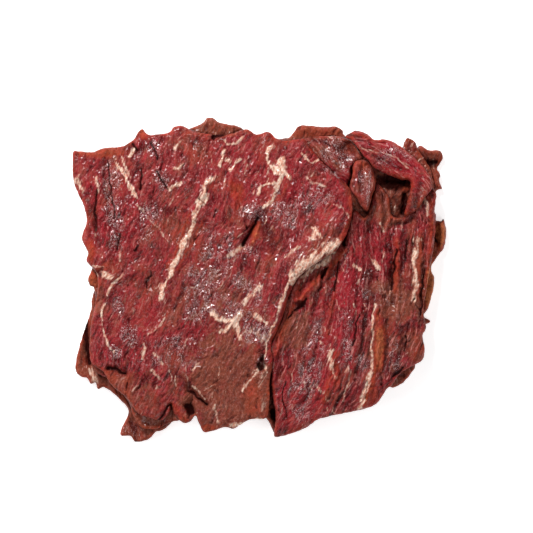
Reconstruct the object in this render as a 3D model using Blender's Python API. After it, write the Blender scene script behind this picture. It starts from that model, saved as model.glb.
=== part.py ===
"""Cecina: a folded stack of thin, half-dried beef sheets lying flat.

Lengths below are millimetres, seen from above: +X to the right, +Y away, +Z up.
The stack rests on z = 0 and its outline is centred on x = y = 0.
Every sheet is a closed solid: its underside follows what it lies on, its upper
side adds the sheet's thickness, its folds and creases, and a rounded rim joins both.
"""

from collections import namedtuple

import bpy
import numpy as np
from mathutils import Vector
from mathutils.geometry import delaunay_2d_cdt

MILLIMETRE = 0.001

# Size of the whole stack
HALF_LENGTH = 93.75
HALF_WIDTH = 81.5
EDGE_HEIGHT_SHARE = 0.70      # height of the stack at its edges, as a share of the middle
EDGE_FALL_START = 0.45        # where the fall towards the edges starts, 0 middle to 1 edge
EDGE_FALL_END = 1.08

# How the sheets lie on each other
LAYER_GAP = 0.5
DRAPE_REACH = 26.0            # a sheet sinks to the floor this far past what carries it
CONTACT_SOFTNESS = 1.6        # rounding where a sheet passes from one carrier to the next
RIM_WIDTH = 1.5
RIM_MIDDLE = 0.42             # height of the edge line, as a share of the thickness
THICKNESS_SWING = 0.10        # slow change of a sheet's thickness from place to place
FOLD_SHARPNESS = 2.0          # how fast a fold fades past its half width

# Distance between neighbouring points of the faceted surfaces
OUTLINE_STEP = 4.6
FOLD_LINE_STEP = 2.0
VISIBLE_STEP = 4.3
HIDDEN_STEP = 6.8
SMALL_VISIBLE_STEP = 3.3
SMALL_HIDDEN_STEP = 4.4
FLAT_STEP = 30.0
ROW_SHARE = 0.866             # distance between the rows of a grid of equal triangles
CLEAR_SHARE = 0.45            # grid points keep this share of a step off the rim's points
CORNER_SHARE = 0.85           # rim points nearer to the outline than this share are dropped
CROWDED_SHARE = 0.5           # and so are those nearer to each other than this share

# Fibres of the right sheet bend towards -X below this line
FIBRE_BEND_START = 20.0
FIBRE_BEND = 0.003

# Outlines, clockwise from the upper left corner
BASE_OUTLINE = (
    (-84, 57), (-65, 64), (-45, 70), (-22, 73), (1, 70), (20, 72), (40, 70), (60, 66), (76, 65),
    (80.5, 67.5), (85, 65.2), (90.5, 65), (91.8, 61), (89, 56.2), (90.5, 53), (90, 49.5),
    (91.5, 46), (88.5, 44.5), (86.5, 36), (88, 30.5), (91, 29.5), (92.3, 30.5), (93.7, 24),
    (92.5, 16.5), (90.2, 13), (86, 6.5), (87.5, 1), (87, -5), (84.5, -14), (82.3, -18),
    (85.5, -21), (81.5, -24), (79, -33), (78, -43), (75.5, -47.5), (72, -51.5), (67, -54),
    (61, -53), (50, -58), (35, -63), (18, -69), (0, -66), (-20, -68), (-34, -66), (-42.5, -70),
    (-48, -75), (-52.5, -76.5), (-56, -80), (-62.3, -81.5), (-65, -78.6), (-69.6, -78.2),
    (-69.8, -75), (-66, -66.2), (-70.3, -60.2), (-77.6, -54.2), (-81.4, -54.8), (-82.7, -51.6),
    (-85.2, -52.3), (-86.7, -49.6), (-90.8, -48.1), (-92.8, -43.7), (-90.7, -33), (-87.7, -23.5),
    (-85.2, -16), (-84.2, -8), (-81, 2), (-82, 20), (-84, 40),
)
MIDDLE_OUTLINE = (
    (-85, 56), (-68, 62), (-50, 69), (-36, 75.5), (-29, 78.5), (-26.5, 81.3), (-24, 81.5),
    (-20.5, 79), (-15, 77.8), (-10, 76.6), (-4, 73), (6, 71.5), (13, 70.5), (16.5, 73.5),
    (20.5, 77.4),
    (32, 76.7), (38, 76.9), (41.5, 75), (42.2, 72.5), (50, 68), (62, 67), (70.5, 66),
    (72.3, 69), (74, 71.2), (77.5, 69.2), (80, 64), (85.5, 55), (87, 44), (84.5, 34),
    (84, 18), (83, 4), (81.5, -10), (79, -24), (76, -37), (67, -48), (53, -56), (38, -61),
    (22, -70), (9, -76.5), (6, -74.5), (2.5, -68.8), (-10, -66), (-22, -68), (-31, -66),
    (-36, -69), (-45, -71.5), (-52, -74.5), (-59, -74), (-63, -69), (-66, -61), (-74, -51),
    (-82, -46), (-85, -38), (-84.5, -24), (-82.5, -12), (-83, -4.2), (-85.2, -2.8),
    (-86.2, 0.5), (-84.6, 4.6), (-83, 12), (-85.5, 25), (-87, 40),
)
RIGHT_OUTLINE = (
    (81, 46.5), (85, 47), (88, 43), (87.3, 35), (88, 31.5), (87.2, 20), (85.5, 9), (83.5, -2.5),
    (81.5, -15), (83, -24), (81.2, -27.5), (82.3, -35), (81.2, -40), (77, -42.5), (70, -46.5),
    (66, -52.5), (63.3, -54.5), (58.3, -61.8), (51, -64.8), (42, -66.6), (30, -69.2),
    (25, -72.5), (19, -75.5), (8.8, -78.5), (7, -76.5), (8, -68), (6.2, -58), (5, -46),
    (1.5, -34), (1, -24), (5, -11), (12, 1), (22, 12), (33, 21), (40, 30), (47, 35),
    (52.5, 31), (55.5, 41), (57.5, 47.8), (61, 46), (64.3, 41.5), (65.8, 32.5), (70, 31.2),
    (74, 33.5), (76, 41),
)
CRUMPLE_LEFT_OUTLINE = (
    (22, 70.5), (31, 71.8), (40, 71.6), (45.5, 69.5), (48.8, 65), (51, 60.5), (48, 58.8),
    (45.6, 55), (45.4, 50), (44, 47), (37.5, 49), (31, 56), (25, 61), (20.5, 66),
)
CRUMPLE_MIDDLE_OUTLINE = (
    (46.8, 58), (50, 59.8), (53.6, 58.8), (56.2, 54.5), (57.5, 50.5), (57.2, 46), (55.5, 41),
    (53.4, 34.4), (50.5, 36.5), (47.2, 41.5), (44.5, 45.5), (45.8, 51.5),
)
CRIMSON_OUTLINE = (
    (42.6, 71.4), (45.5, 73.6), (48.6, 74.6), (53, 73.2), (57, 70.2), (62, 70.2), (66.5, 69),
    (71.6, 65.6), (76, 62), (81, 57), (84.8, 51), (85.5, 45.5), (82, 41), (79, 36), (75, 33),
    (71.8, 31.8), (73.2, 38), (74.8, 44), (74.6, 49.2), (70, 50.2), (65, 52), (60.5, 53.8),
    (57.3, 55.4), (54.6, 58.4), (51.5, 62), (48.5, 66), (45.5, 69.4),
)
FLAP_OUTLINE = (
    (-93.7, 63.6), (-91, 64.5), (-84, 64), (-78, 66), (-69, 66.8), (-63.5, 70), (-60.5, 74.6),
    (-58.5, 75.5), (-55.6, 72.6), (-46, 73.6), (-43, 76.4), (-39, 77), (-33, 74.5), (-23, 72.4),
    (-14, 73), (-7, 75.4), (-1.5, 72.6), (4, 74), (8.5, 70.5), (14, 69.4), (21.5, 70.4),
    (25, 66), (29, 61), (35, 55.5), (40, 50), (44.5, 45), (45.8, 37), (45, 29), (42.5, 22),
    (38, 15), (32, 11), (24.5, 6), (18.5, 0.5), (15, -6), (12.5, -14), (9, -24), (5.5, -32),
    (6.5, -40), (4.8, -50), (4.6, -60), (3, -68.4), (-5, -69.6), (-10, -72.5), (-13.5, -74.4),
    (-18, -73.7), (-27.5, -76.3), (-30.2, -72), (-32.2, -68), (-35, -70.8), (-38.5, -71.2),
    (-42.5, -67), (-44.4, -62), (-45.4, -66), (-49, -70), (-55, -68.8), (-61, -66.5),
    (-64.5, -61.5), (-68, -57.5), (-74, -52.5), (-78, -46), (-83, -42.5), (-85, -38),
    (-84.6, -24), (-82.8, -15), (-81.2, -6), (-81.2, 2), (-83.5, 6), (-86.6, 9.5), (-86, 14),
    (-89, 21), (-86.6, 29), (-88, 37), (-92.4, 46.5), (-93.7, 53),
)

# Folds and creases: points of the line, half width, and height (below zero for a crease)
FLAP_FOLDS = (
    (((2, 33), (-3, 28), (-7.5, 20), (-8.6, 16)), 3.0, -1.5),
    (((-1, 36), (-6, 30), (-10, 23)), 4.0, 1.1),
    (((-35.5, -53.5), (-31, -58), (-26.8, -62)), 2.6, -2.2),
    (((-34.6, -61), (-33.6, -66)), 2.6, -2.6),
    (((40, 18), (33, 14), (25, 8), (18, 2), (13.5, -6), (10.5, -15), (6.5, -26)), 4.5, 1.5),
    (((-22, 52), (-27, 46), (-32, 34), (-36, 24), (-42, 6), (-49, -8)), 3.4, 0.8),
    (((-67, 2), (-76, -8), (-78.5, -20), (-77, -30), (-70, -37)), 4.5, 1.0),
    (((-76, -44), (-68, -46.5)), 3.0, -1.6),
    (((-82, 42), (-82.5, 26)), 3.0, -1.3),
    (((-60, 56), (-59.5, 45)), 3.0, -1.2),
    (((-70, 22), (-72, 15)), 3.0, -1.2),
    (((11, 56), (6, 44), (3, 36)), 4.0, 0.7),
    (((-36, -43), (-30, -41)), 3.0, -0.7),
    (((1, -37), (0.5, -43)), 2.6, -1.8),
)
RIGHT_FOLDS = (
    (((66, 8), (66.5, -5), (64, -20)), 3.5, -1.3),
    (((38, 10), (38.5, -6)), 3.5, -1.3),
    (((50, 18), (49, -8), (46, -28), (40, -50)), 4.5, 0.8),
    (((24, -6), (20, -14), (15, -24), (11, -33)), 2.8, 1.1),
    (((76, 38), (80, 20), (77, 0), (75, -20)), 4.5, 0.8),
    (((57.5, 42), (60, 30), (58, 18)), 4.0, 1.2),
    (((72, -30), (70, -40), (64, -50)), 4.0, 0.8),
)
CRIMSON_FOLDS = (
    (((52, 67), (62, 64), (72, 59), (79, 51)), 5.0, 1.6),
    (((58, 60), (68, 57)), 3.5, -0.8),
)
CRUMPLE_LEFT_FOLDS = (
    (((43.5, 66.5), (43.5, 64.5)), 3.6, -2.8),
    (((30, 66), (37, 58), (42, 52)), 4.0, 1.2),
)
CRUMPLE_MIDDLE_FOLDS = (
    (((50, 57), (54.5, 50), (54, 42)), 4.5, 1.8),
)
BASE_FOLDS = (
    (((-87, -22), (-88, -32), (-86, -40)), 3.0, -2.2),
    (((91, 27), (92, 22), (90.5, 17)), 2.2, 1.6),
    (((86, 58.8), (84.5, 57.8)), 2.6, -1.8),
    (((-64, -70), (-60, -78)), 3.0, -1.2),
)
MIDDLE_FOLDS = (
    (((-57, -72), (-47, -70.5)), 3.0, -1.2),
    (((20, 75), (30, 74.6), (39, 74.6)), 2.6, 0.9),
    (((-24, 79.5), (-19, 76)), 2.6, 0.9),
)

# The sheets, from the lowest up
Sheet = namedtuple("Sheet", "name outline thickness folds wave upper_step lower_step")
SHEETS = (
    Sheet("base_sheet", BASE_OUTLINE, 5.6, BASE_FOLDS, 0.25, HIDDEN_STEP, FLAT_STEP),
    Sheet("middle_sheet", MIDDLE_OUTLINE, 5.2, MIDDLE_FOLDS, 0.25, HIDDEN_STEP, HIDDEN_STEP),
    Sheet("right_sheet", RIGHT_OUTLINE, 5.0, RIGHT_FOLDS, 0.45, VISIBLE_STEP, HIDDEN_STEP),
    Sheet("crumple_left", CRUMPLE_LEFT_OUTLINE, 4.4, CRUMPLE_LEFT_FOLDS, 0.3,
          SMALL_VISIBLE_STEP, SMALL_HIDDEN_STEP),
    Sheet("crumple_middle", CRUMPLE_MIDDLE_OUTLINE, 4.2, CRUMPLE_MIDDLE_FOLDS, 0.3,
          SMALL_VISIBLE_STEP, SMALL_HIDDEN_STEP),
    Sheet("crimson_fold", CRIMSON_OUTLINE, 4.2, CRIMSON_FOLDS, 0.3,
          SMALL_VISIBLE_STEP, SMALL_HIDDEN_STEP),
    Sheet("top_flap", FLAP_OUTLINE, 5.0, FLAP_FOLDS, 0.45, VISIBLE_STEP, HIDDEN_STEP),
)

# Colour and roughness of each sheet's meat
MEAT = {
    "base_sheet": ((0.22, 0.045, 0.028), 0.42),
    "middle_sheet": ((0.24, 0.050, 0.030), 0.42),
    "right_sheet": ((0.24, 0.030, 0.034), 0.38),
    "crumple_left": ((0.27, 0.065, 0.055), 0.38),
    "crumple_middle": ((0.28, 0.070, 0.055), 0.38),
    "crimson_fold": ((0.32, 0.040, 0.048), 0.36),
    "top_flap": ((0.26, 0.045, 0.040), 0.38),
}


def smoothstep(low, high, value):
    t = np.clip((value - low) / (high - low), 0.0, 1.0)
    return t * t * (3.0 - 2.0 * t)


def soft_max(a, b):
    return 0.5 * (a + b + np.sqrt((a - b) ** 2 + CONTACT_SOFTNESS ** 2))


def curve_through(points, step, closed):
    """Points along a smooth curve through the given ones, about a step apart."""
    given = np.array(points, dtype=float)
    count = len(given)
    pieces = []
    for i in range(count if closed else count - 1):
        around = [i - 1, i, i + 1, i + 2]
        if closed:
            a, b, c, d = (given[k % count] for k in around)
        else:
            a, b, c, d = (given[min(max(k, 0), count - 1)] for k in around)
        parts = max(1, round(float(np.linalg.norm(c - b)) / step))
        t = np.arange(parts)[:, None] / parts
        pieces.append(0.5 * (2 * b + (c - a) * t + (2 * a - 5 * b + 4 * c - d) * t ** 2
                             + (3 * b - a - 3 * c + d) * t ** 3))
    if not closed:
        pieces.append(given[-1:])
    return np.concatenate(pieces)


def distance_to_lines(points, starts, ends):
    """Distance of each point to the nearest of the straight lines."""
    along = ends - starts
    length_squared = (along ** 2).sum(1)
    away = points[:, None, :] - starts[None]
    t = np.clip((away * along[None]).sum(2) / length_squared, 0.0, 1.0)
    nearest = away - t[..., None] * along[None]
    return np.sqrt((nearest ** 2).sum(2).min(1))


def outside_distance(points, ring):
    """Distance from each point to the ring, below zero inside it."""
    following = np.roll(ring, -1, axis=0)
    distance = distance_to_lines(points, ring, following)
    x, y = points[:, 0:1], points[:, 1:2]
    crosses = (ring[None, :, 1] > y) != (following[None, :, 1] > y)
    rise = following[:, 1] - ring[:, 1]
    slope = (following[:, 0] - ring[:, 0]) / np.where(rise == 0.0, 1.0, rise)
    left_of = x < ring[None, :, 0] + (y - ring[None, :, 1]) * slope[None]
    inside = (crosses & left_of).sum(1) % 2 == 1
    return np.where(inside, -distance, distance)


def crown(points):
    """Share of the full height: one in the middle of the stack, less at its edges."""
    reach = ((np.abs(points[:, 0]) / HALF_LENGTH) ** 3
             + (np.abs(points[:, 1]) / HALF_WIDTH) ** 3) ** (1 / 3)
    return 1.0 - (1.0 - EDGE_HEIGHT_SHARE) * smoothstep(EDGE_FALL_START, EDGE_FALL_END, reach)


def thickness_at(order, points):
    """Thickness of a sheet without its folds: thinner at the edges, never quite even."""
    x, y = points[:, 0], points[:, 1]
    swing = np.sin(0.062 * x + 2.1 * order) * np.sin(0.071 * y + 1.3 * order)
    return SHEETS[order].thickness * (crown(points) + THICKNESS_SWING * swing)


def fold_relief(points, folds):
    """Rounded ridges and creases along their lines."""
    relief = np.zeros(len(points))
    for line, half_width, height in folds:
        curve = curve_through(line, FOLD_LINE_STEP, closed=False)
        distance = distance_to_lines(points, curve[:-1], curve[1:])
        relief += height * np.exp(-FOLD_SHARPNESS * (distance / half_width) ** 2)
    return relief


def fibre_wave(name, points):
    """Low waves across the bundles of muscle fibre, from -1 to 1."""
    x, y = points[:, 0], points[:, 1]
    if name == "right_sheet":
        below = np.clip(FIBRE_BEND_START - y, 0.0, None)
        across = x + FIBRE_BEND * below ** 2
        return 0.6 * np.sin(across * 0.74) + 0.4 * np.sin(across * 0.43 + y * 0.05 + 1.0)
    across = 0.9 * x + 0.45 * y
    return 0.6 * np.sin(across * 0.21 + 0.6 * np.sin(y * 0.07)) + 0.4 * np.sin(x * 0.33 - y * 0.12)


def underside_at(order, points):
    """Underside of a sheet: the floor, or a gap above the highest of the sheets below."""
    if order == 0:
        return np.zeros(len(points))
    carrying = None
    for lower in range(order):
        below = np.zeros(len(points)) if lower == 0 else carrying + LAYER_GAP
        past_edge = outside_distance(points, RINGS[lower])
        held = (below + thickness_at(lower, points)) * (1.0 - smoothstep(0.0, DRAPE_REACH, past_edge))
        carrying = held if lower == 0 else soft_max(carrying, held)
    return carrying + LAYER_GAP


def rim_profile(points, ring):
    """Share of the way from the edge line to the full height, a quarter round."""
    t = np.clip(-outside_distance(points, ring) / RIM_WIDTH, 0.0, 1.0)
    return np.sqrt(1.0 - (1.0 - t) ** 2)


def rim_points(ring):
    """The ring moved inwards, without the points that crowd together in its corners."""
    tangent = np.roll(ring, -1, axis=0) - np.roll(ring, 1, axis=0)
    inwards = np.c_[tangent[:, 1], -tangent[:, 0]] / np.linalg.norm(tangent, axis=1)[:, None]
    moved = ring + inwards * RIM_WIDTH
    moved = moved[outside_distance(moved, ring) < -CORNER_SHARE * RIM_WIDTH]
    kept = [moved[0]]
    for point in moved[1:]:
        nearest = min(float(np.linalg.norm(point - other)) for other in kept)
        if nearest > CROWDED_SHARE * RIM_WIDTH:
            kept.append(point)
    return np.array(kept)


def inner_points(ring, step):
    """The rim's points, and a grid of triangles of the given step within them."""
    low, high = ring.min(0), ring.max(0)
    rows = []
    for row, y in enumerate(np.arange(low[1], high[1], step * ROW_SHARE)):
        x = np.arange(low[0] + (row % 2) * 0.5 * step, high[0], step)
        rows.append(np.c_[x, np.full(len(x), y)])
    grid = np.concatenate(rows)
    grid = grid[outside_distance(grid, ring) < -(RIM_WIDTH + CLEAR_SHARE * step)]
    return np.concatenate([rim_points(ring), grid])


def triangulate(ring, inner, upwards):
    """Triangles over the ring and the points inside it, all facing up or all down."""
    flat = np.concatenate([ring, inner])
    points = [Vector(point) for point in flat]
    result = delaunay_2d_cdt(points, [], [list(range(len(ring)))], 1, 1e-6)
    if len(result[0]) != len(points):
        raise ValueError("two points of a sheet are in one place")
    faces = []
    for face in result[2]:
        a, b, c = (flat[i] for i in face)
        turns_left = (b[0] - a[0]) * (c[1] - a[1]) > (b[1] - a[1]) * (c[0] - a[0])
        faces.append(tuple(face) if turns_left == upwards else tuple(face)[::-1])
    return faces


def meat_material(name):
    colour, roughness = MEAT[name]
    material = bpy.data.materials.new(name + "_meat")
    material.use_nodes = True
    shader = material.node_tree.nodes["Principled BSDF"]
    shader.inputs["Base Color"].default_value = (*colour, 1.0)
    shader.inputs["Roughness"].default_value = roughness
    shader.inputs["Metallic"].default_value = 0.0
    return material


def build_sheet(order):
    """One closed solid: an upper and a lower surface that share the outline."""
    sheet = SHEETS[order]
    ring = RINGS[order]
    upper = inner_points(ring, sheet.upper_step)
    lower = inner_points(ring, sheet.lower_step)

    edge_z = underside_at(order, ring) + RIM_MIDDLE * thickness_at(order, ring)
    plain = thickness_at(order, upper)
    full = plain + fold_relief(upper, sheet.folds) + sheet.wave * fibre_wave(sheet.name, upper)
    rounded = RIM_MIDDLE * plain + (full - RIM_MIDDLE * plain) * rim_profile(upper, ring)
    upper_z = underside_at(order, upper) + rounded
    undercut = RIM_MIDDLE * thickness_at(order, lower) * (1.0 - rim_profile(lower, ring))
    lower_z = underside_at(order, lower) + undercut

    faces = triangulate(ring, upper, upwards=True)
    shift = len(upper)
    for face in triangulate(ring, lower, upwards=False):
        faces.append(tuple(i if i < len(ring) else i + shift for i in face))
    vertices = np.concatenate([np.c_[ring, edge_z], np.c_[upper, upper_z], np.c_[lower, lower_z]])
    mesh = bpy.data.meshes.new(sheet.name)
    mesh.from_pydata((vertices * MILLIMETRE).tolist(), [], faces)
    mesh.update()
    mesh.shade_smooth()
    mesh.materials.append(meat_material(sheet.name))
    bpy.context.collection.objects.link(bpy.data.objects.new(sheet.name, mesh))


for existing in list(bpy.data.objects):
    bpy.data.objects.remove(existing, do_unlink=True)

RINGS = [curve_through(sheet.outline, OUTLINE_STEP, closed=True) for sheet in SHEETS]

for position in range(len(SHEETS)):
    build_sheet(position)
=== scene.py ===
"""Looks of the cecina: a folded stack of thin, half-dried beef sheets.

Lengths are millimetres, seen from above: +X to the right, +Y away, +Z up. Fat, slits, ridges
and tints are placed on a chart laid over the stack: its steps are half a millimetre, counted
from its upper left corner to the right and towards the viewer.
"""

import math
from collections import namedtuple

import bpy
import numpy as np
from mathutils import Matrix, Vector
from mathutils.geometry import delaunay_2d_cdt
from mathutils.kdtree import KDTree


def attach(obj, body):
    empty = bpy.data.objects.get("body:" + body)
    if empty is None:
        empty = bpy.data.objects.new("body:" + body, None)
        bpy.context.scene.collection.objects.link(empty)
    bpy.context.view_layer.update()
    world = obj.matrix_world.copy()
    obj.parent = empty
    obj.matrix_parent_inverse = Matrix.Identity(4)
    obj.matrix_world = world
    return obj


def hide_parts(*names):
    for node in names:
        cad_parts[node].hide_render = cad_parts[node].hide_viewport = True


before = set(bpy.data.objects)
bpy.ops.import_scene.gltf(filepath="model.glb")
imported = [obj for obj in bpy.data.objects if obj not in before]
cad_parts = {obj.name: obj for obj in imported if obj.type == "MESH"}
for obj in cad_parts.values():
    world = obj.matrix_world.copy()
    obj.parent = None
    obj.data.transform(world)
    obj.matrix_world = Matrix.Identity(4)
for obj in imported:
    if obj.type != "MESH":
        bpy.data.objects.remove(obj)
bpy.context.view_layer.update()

MILLIMETRE = 0.001
CHART_STEP = 0.5
CHART_MIDDLE = (260.0, 280.0)

# Size of the whole stack
HALF_LENGTH = 93.75
HALF_WIDTH = 81.5
BOX_LOW = (-93.9, -81.45)
BOX_HIGH = (93.65, 81.45)
BOX_TOP = 25.15
EDGE_HEIGHT_SHARE = 0.70
EDGE_FALL_START = 0.45
EDGE_FALL_END = 1.08

# How the sheets lie on each other
LAYER_GAP = 0.5
FILLED_GAP = 0.38
DRAPE_REACH = 26.0
CONTACT_SOFTNESS = 1.6
RIM_MIDDLE = 0.42
THICKNESS_SWING = 0.10
FOLD_SHARPNESS = 2.0
SEAM_DROP = 1.7
SEAM_LIFT = 1.9

# Distance between neighbouring points
LEVEL_OUTLINE_STEP = 4.6
LEVEL_STEP = 0.75
LEVEL_MARGIN = 3.0
OUTLINE_STEP = 0.6
VISIBLE_STEP = 0.46
COVERED_STEP = 3.0
COVERED_MARGIN = 2.5
FEATURE_LINE_STEP = 0.8
ROW_SHARE = 0.866

# Rounded rims: distances of the rows of points from the outline
UPPER_INSETS = (0.1, 0.32, 0.68, 1.15)
LOWER_INSETS = (0.25, 0.8)
RIM_WIDTH = 1.5
INSET_CLEARANCE = 0.93
CROWDED_CELL = 0.22
THINNEST = 0.8

# Lines and small slits: cell and swing of the wobbles, reach in half widths, area for each slit
WOBBLES = ((5.0, 0.9), (1.9, 0.32))
LINE_REACH = 4.0
FAT_HEIGHT = 0.25
SMALL_SLIT_AREA = 42.0

# Tints: the highest share of wetness and painted glints, and the brown of the undersides
MOST_WET = 1.2
HIDDEN_BROWN = 0.7

# Fibres: the right sheet's bend towards -X below a line, the crimson fold's run round a centre
FIBRE_BEND_START = 20.0
FIBRE_BEND = 0.003
GRAIN_WARP = 2.2
GRAIN_CURL = 0.9
CRIMSON_GRAIN_CENTRE = (44.0, 26.0)
CRIMSON_GRAIN_RADIUS = 40.0

# Points worked on at a time, and the values where no line or no upper sheet is near
BLOCK = 4000
FAR_AWAY = 1e3
UNCOVERED = -50.0

# Noise: shift that keeps its cells above zero, and factor that brings it to about -1 to 1
NOISE_SHIFT = 97.0
NOISE_SWING = 1.5

# Outlines, clockwise from the upper left corner
BASE_OUTLINE = (
    (-84, 57), (-65, 64), (-45, 70), (-22, 73), (1, 70), (20, 72), (40, 70), (60, 66), (76, 65),
    (80.5, 67.5), (85, 65.2), (90.5, 65), (91.8, 61), (89, 56.2), (90.5, 53), (90, 49.5),
    (91.5, 46), (88.5, 44.5), (86.5, 36), (88, 30.5), (91, 29.5), (92.3, 30.5), (93.7, 24),
    (92.5, 16.5), (90.2, 13), (86, 6.5), (87.5, 1), (87, -5), (84.5, -14), (82.3, -18),
    (85.5, -21), (81.5, -24), (79, -33), (78, -43), (75.5, -47.5), (72, -51.5), (67, -54),
    (61, -53), (50, -58), (35, -63), (18, -69), (0, -66), (-20, -68), (-34, -66), (-42.5, -70),
    (-48, -75), (-52.5, -76.5), (-56, -80), (-62.3, -81.5), (-65, -78.6), (-69.6, -78.2),
    (-69.8, -75), (-66, -66.2), (-70.3, -60.2), (-77.6, -54.2), (-81.4, -54.8), (-82.7, -51.6),
    (-85.2, -52.3), (-86.7, -49.6), (-90.8, -48.1), (-92.8, -43.7), (-90.7, -33), (-87.7, -23.5),
    (-85.2, -16), (-84.2, -8), (-81, 2), (-82, 20), (-84, 40),
)
MIDDLE_OUTLINE = (
    (-85, 56), (-68, 62), (-50, 69), (-36, 75.5), (-29, 78.5), (-26.5, 81.3), (-24, 81.5),
    (-20.5, 79), (-15, 77.8), (-10, 76.6), (-4, 73), (6, 71.5), (13, 70.5), (16.5, 73.5),
    (20.5, 77.4), (32, 76.7), (38, 76.9), (41.5, 75), (42.2, 72.5), (50, 68), (62, 67), (70.5, 66),
    (72.3, 69), (74, 71.2), (77.5, 69.2), (80, 64), (85.5, 55), (87, 44), (84.5, 34), (84, 18),
    (83, 4), (81.5, -10), (79, -24), (76, -37), (67, -48), (53, -56), (38, -61), (22, -70),
    (9, -76.5), (6, -74.5), (2.5, -68.8), (-10, -66), (-22, -68), (-31, -66), (-36, -69),
    (-45, -71.5), (-52, -74.5), (-59, -74), (-63, -69), (-66, -61), (-74, -51), (-82, -46),
    (-85, -38), (-84.5, -24), (-82.5, -12), (-83, -4.2), (-85.2, -2.8), (-86.2, 0.5), (-84.6, 4.6),
    (-83, 12), (-85.5, 25), (-87, 40),
)
RIGHT_OUTLINE = (
    (81, 46.5), (85, 47), (88, 43), (87.3, 35), (88, 31.5), (87.2, 20), (85.5, 9), (83.5, -2.5),
    (81.5, -15), (83, -24), (81.2, -27.5), (82.3, -35), (81.2, -40), (77, -42.5), (70, -46.5),
    (66, -52.5), (63.3, -54.5), (58.3, -61.8), (51, -64.8), (42, -66.6), (30, -69.2), (25, -72.5),
    (19, -75.5), (8.8, -78.5), (7, -76.5), (8, -68), (6.2, -58), (5, -46), (1.5, -34), (1, -24),
    (5, -11), (12, 1), (22, 12), (33, 21), (40, 30), (47, 35), (52.5, 31), (55.5, 41),
    (57.5, 47.8), (61, 46), (64.3, 41.5), (65.8, 32.5), (70, 31.2), (74, 33.5), (76, 41),
)
CRUMPLE_LEFT_OUTLINE = (
    (22, 70.5), (31, 71.8), (40, 71.6), (45.5, 69.5), (48.8, 65), (51, 60.5), (48, 58.8),
    (45.6, 55), (45.4, 50), (44, 47), (37.5, 49), (31, 56), (25, 61), (20.5, 66),
)
CRUMPLE_MIDDLE_OUTLINE = (
    (46.8, 58), (50, 59.8), (53.6, 58.8), (56.2, 54.5), (57.5, 50.5), (57.2, 46), (55.5, 41),
    (53.4, 34.4), (50.5, 36.5), (47.2, 41.5), (44.5, 45.5), (45.8, 51.5),
)
CRIMSON_OUTLINE = (
    (42.6, 71.4), (45.5, 73.6), (48.6, 74.6), (53, 73.2), (57, 70.2), (62, 70.2), (66.5, 69),
    (71.6, 65.6), (76, 62), (81, 57), (84.8, 51), (85.5, 45.5), (82, 41), (79, 36), (75, 33),
    (71.8, 31.8), (73.2, 38), (74.8, 44), (74.6, 49.2), (70, 50.2), (65, 52), (60.5, 53.8),
    (57.3, 55.4), (54.6, 58.4), (51.5, 62), (48.5, 66), (45.5, 69.4),
)
FLAP_OUTLINE = (
    (-93.7, 63.6), (-91, 64.5), (-84, 64), (-78, 66), (-69, 66.8), (-63.5, 70), (-60.5, 74.6),
    (-58.5, 75.5), (-55.6, 72.6), (-46, 73.6), (-43, 76.4), (-39, 77), (-33, 74.5), (-23, 72.4),
    (-14, 73), (-7, 75.4), (-1.5, 72.6), (4, 74), (8.5, 70.5), (14, 69.4), (21.5, 70.4), (25, 66),
    (29, 61), (35, 55.5), (40, 50), (44.5, 45), (45.8, 37), (45, 29), (42.5, 22), (38, 15),
    (32, 11), (24.5, 6), (18.5, 0.5), (15, -6), (12.5, -14), (9, -24), (5.5, -32), (6.5, -40),
    (4.8, -50), (4.6, -60), (3, -68.4), (-5, -69.6), (-10, -72.5), (-13.5, -74.4), (-18, -73.7),
    (-27.5, -76.3), (-30.2, -72), (-32.2, -68), (-35, -70.8), (-38.5, -71.2), (-42.5, -67),
    (-44.4, -62), (-45.4, -66), (-49, -70), (-55, -68.8), (-61, -66.5), (-64.5, -61.5),
    (-68, -57.5), (-74, -52.5), (-78, -46), (-83, -42.5), (-85, -38), (-84.6, -24), (-82.8, -15),
    (-81.2, -6), (-81.2, 2), (-83.5, 6), (-86.6, 9.5), (-86, 14), (-89, 21), (-86.6, 29),
    (-88, 37), (-92.4, 46.5), (-93.7, 53),
)

# Folds and creases: points of the line, half width, and height (below zero for a crease)
FLAP_FOLDS = (
    (((2, 33), (-3, 28), (-7.5, 20), (-8.6, 16)), 3.0, -1.5),
    (((-1, 36), (-6, 30), (-10, 23)), 4.0, 1.1),
    (((-35.5, -53.5), (-31, -58), (-26.8, -62)), 2.6, -2.2),
    (((-34.6, -61), (-33.6, -66)), 2.6, -2.6),
    (((40, 18), (33, 14), (25, 8), (18, 2), (13.5, -6), (10.5, -15), (6.5, -26)), 4.5, 1.5),
    (((-22, 52), (-27, 46), (-32, 34), (-36, 24), (-42, 6), (-49, -8)), 3.4, 0.8),
    (((-67, 2), (-76, -8), (-78.5, -20), (-77, -30), (-70, -37)), 4.5, 1.0),
    (((-76, -44), (-68, -46.5)), 3.0, -1.6), (((-82, 42), (-82.5, 26)), 3.0, -1.3),
    (((-60, 56), (-59.5, 45)), 3.0, -1.2), (((-70, 22), (-72, 15)), 3.0, -1.2),
    (((11, 56), (6, 44), (3, 36)), 4.0, 0.7), (((-36, -43), (-30, -41)), 3.0, -0.7),
    (((1, -37), (0.5, -43)), 2.6, -1.8),
)
RIGHT_FOLDS = (
    (((66, 8), (66.5, -5), (64, -20)), 3.5, -1.3), (((38, 10), (38.5, -6)), 3.5, -1.3),
    (((50, 18), (49, -8), (46, -28), (40, -50)), 4.5, 0.8),
    (((24, -6), (20, -14), (15, -24), (11, -33)), 2.8, 1.1),
    (((76, 38), (80, 20), (77, 0), (75, -20)), 4.5, 0.8),
    (((57.5, 42), (60, 30), (58, 18)), 4.0, 1.2), (((72, -30), (70, -40), (64, -50)), 4.0, 0.8),
)
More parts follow.
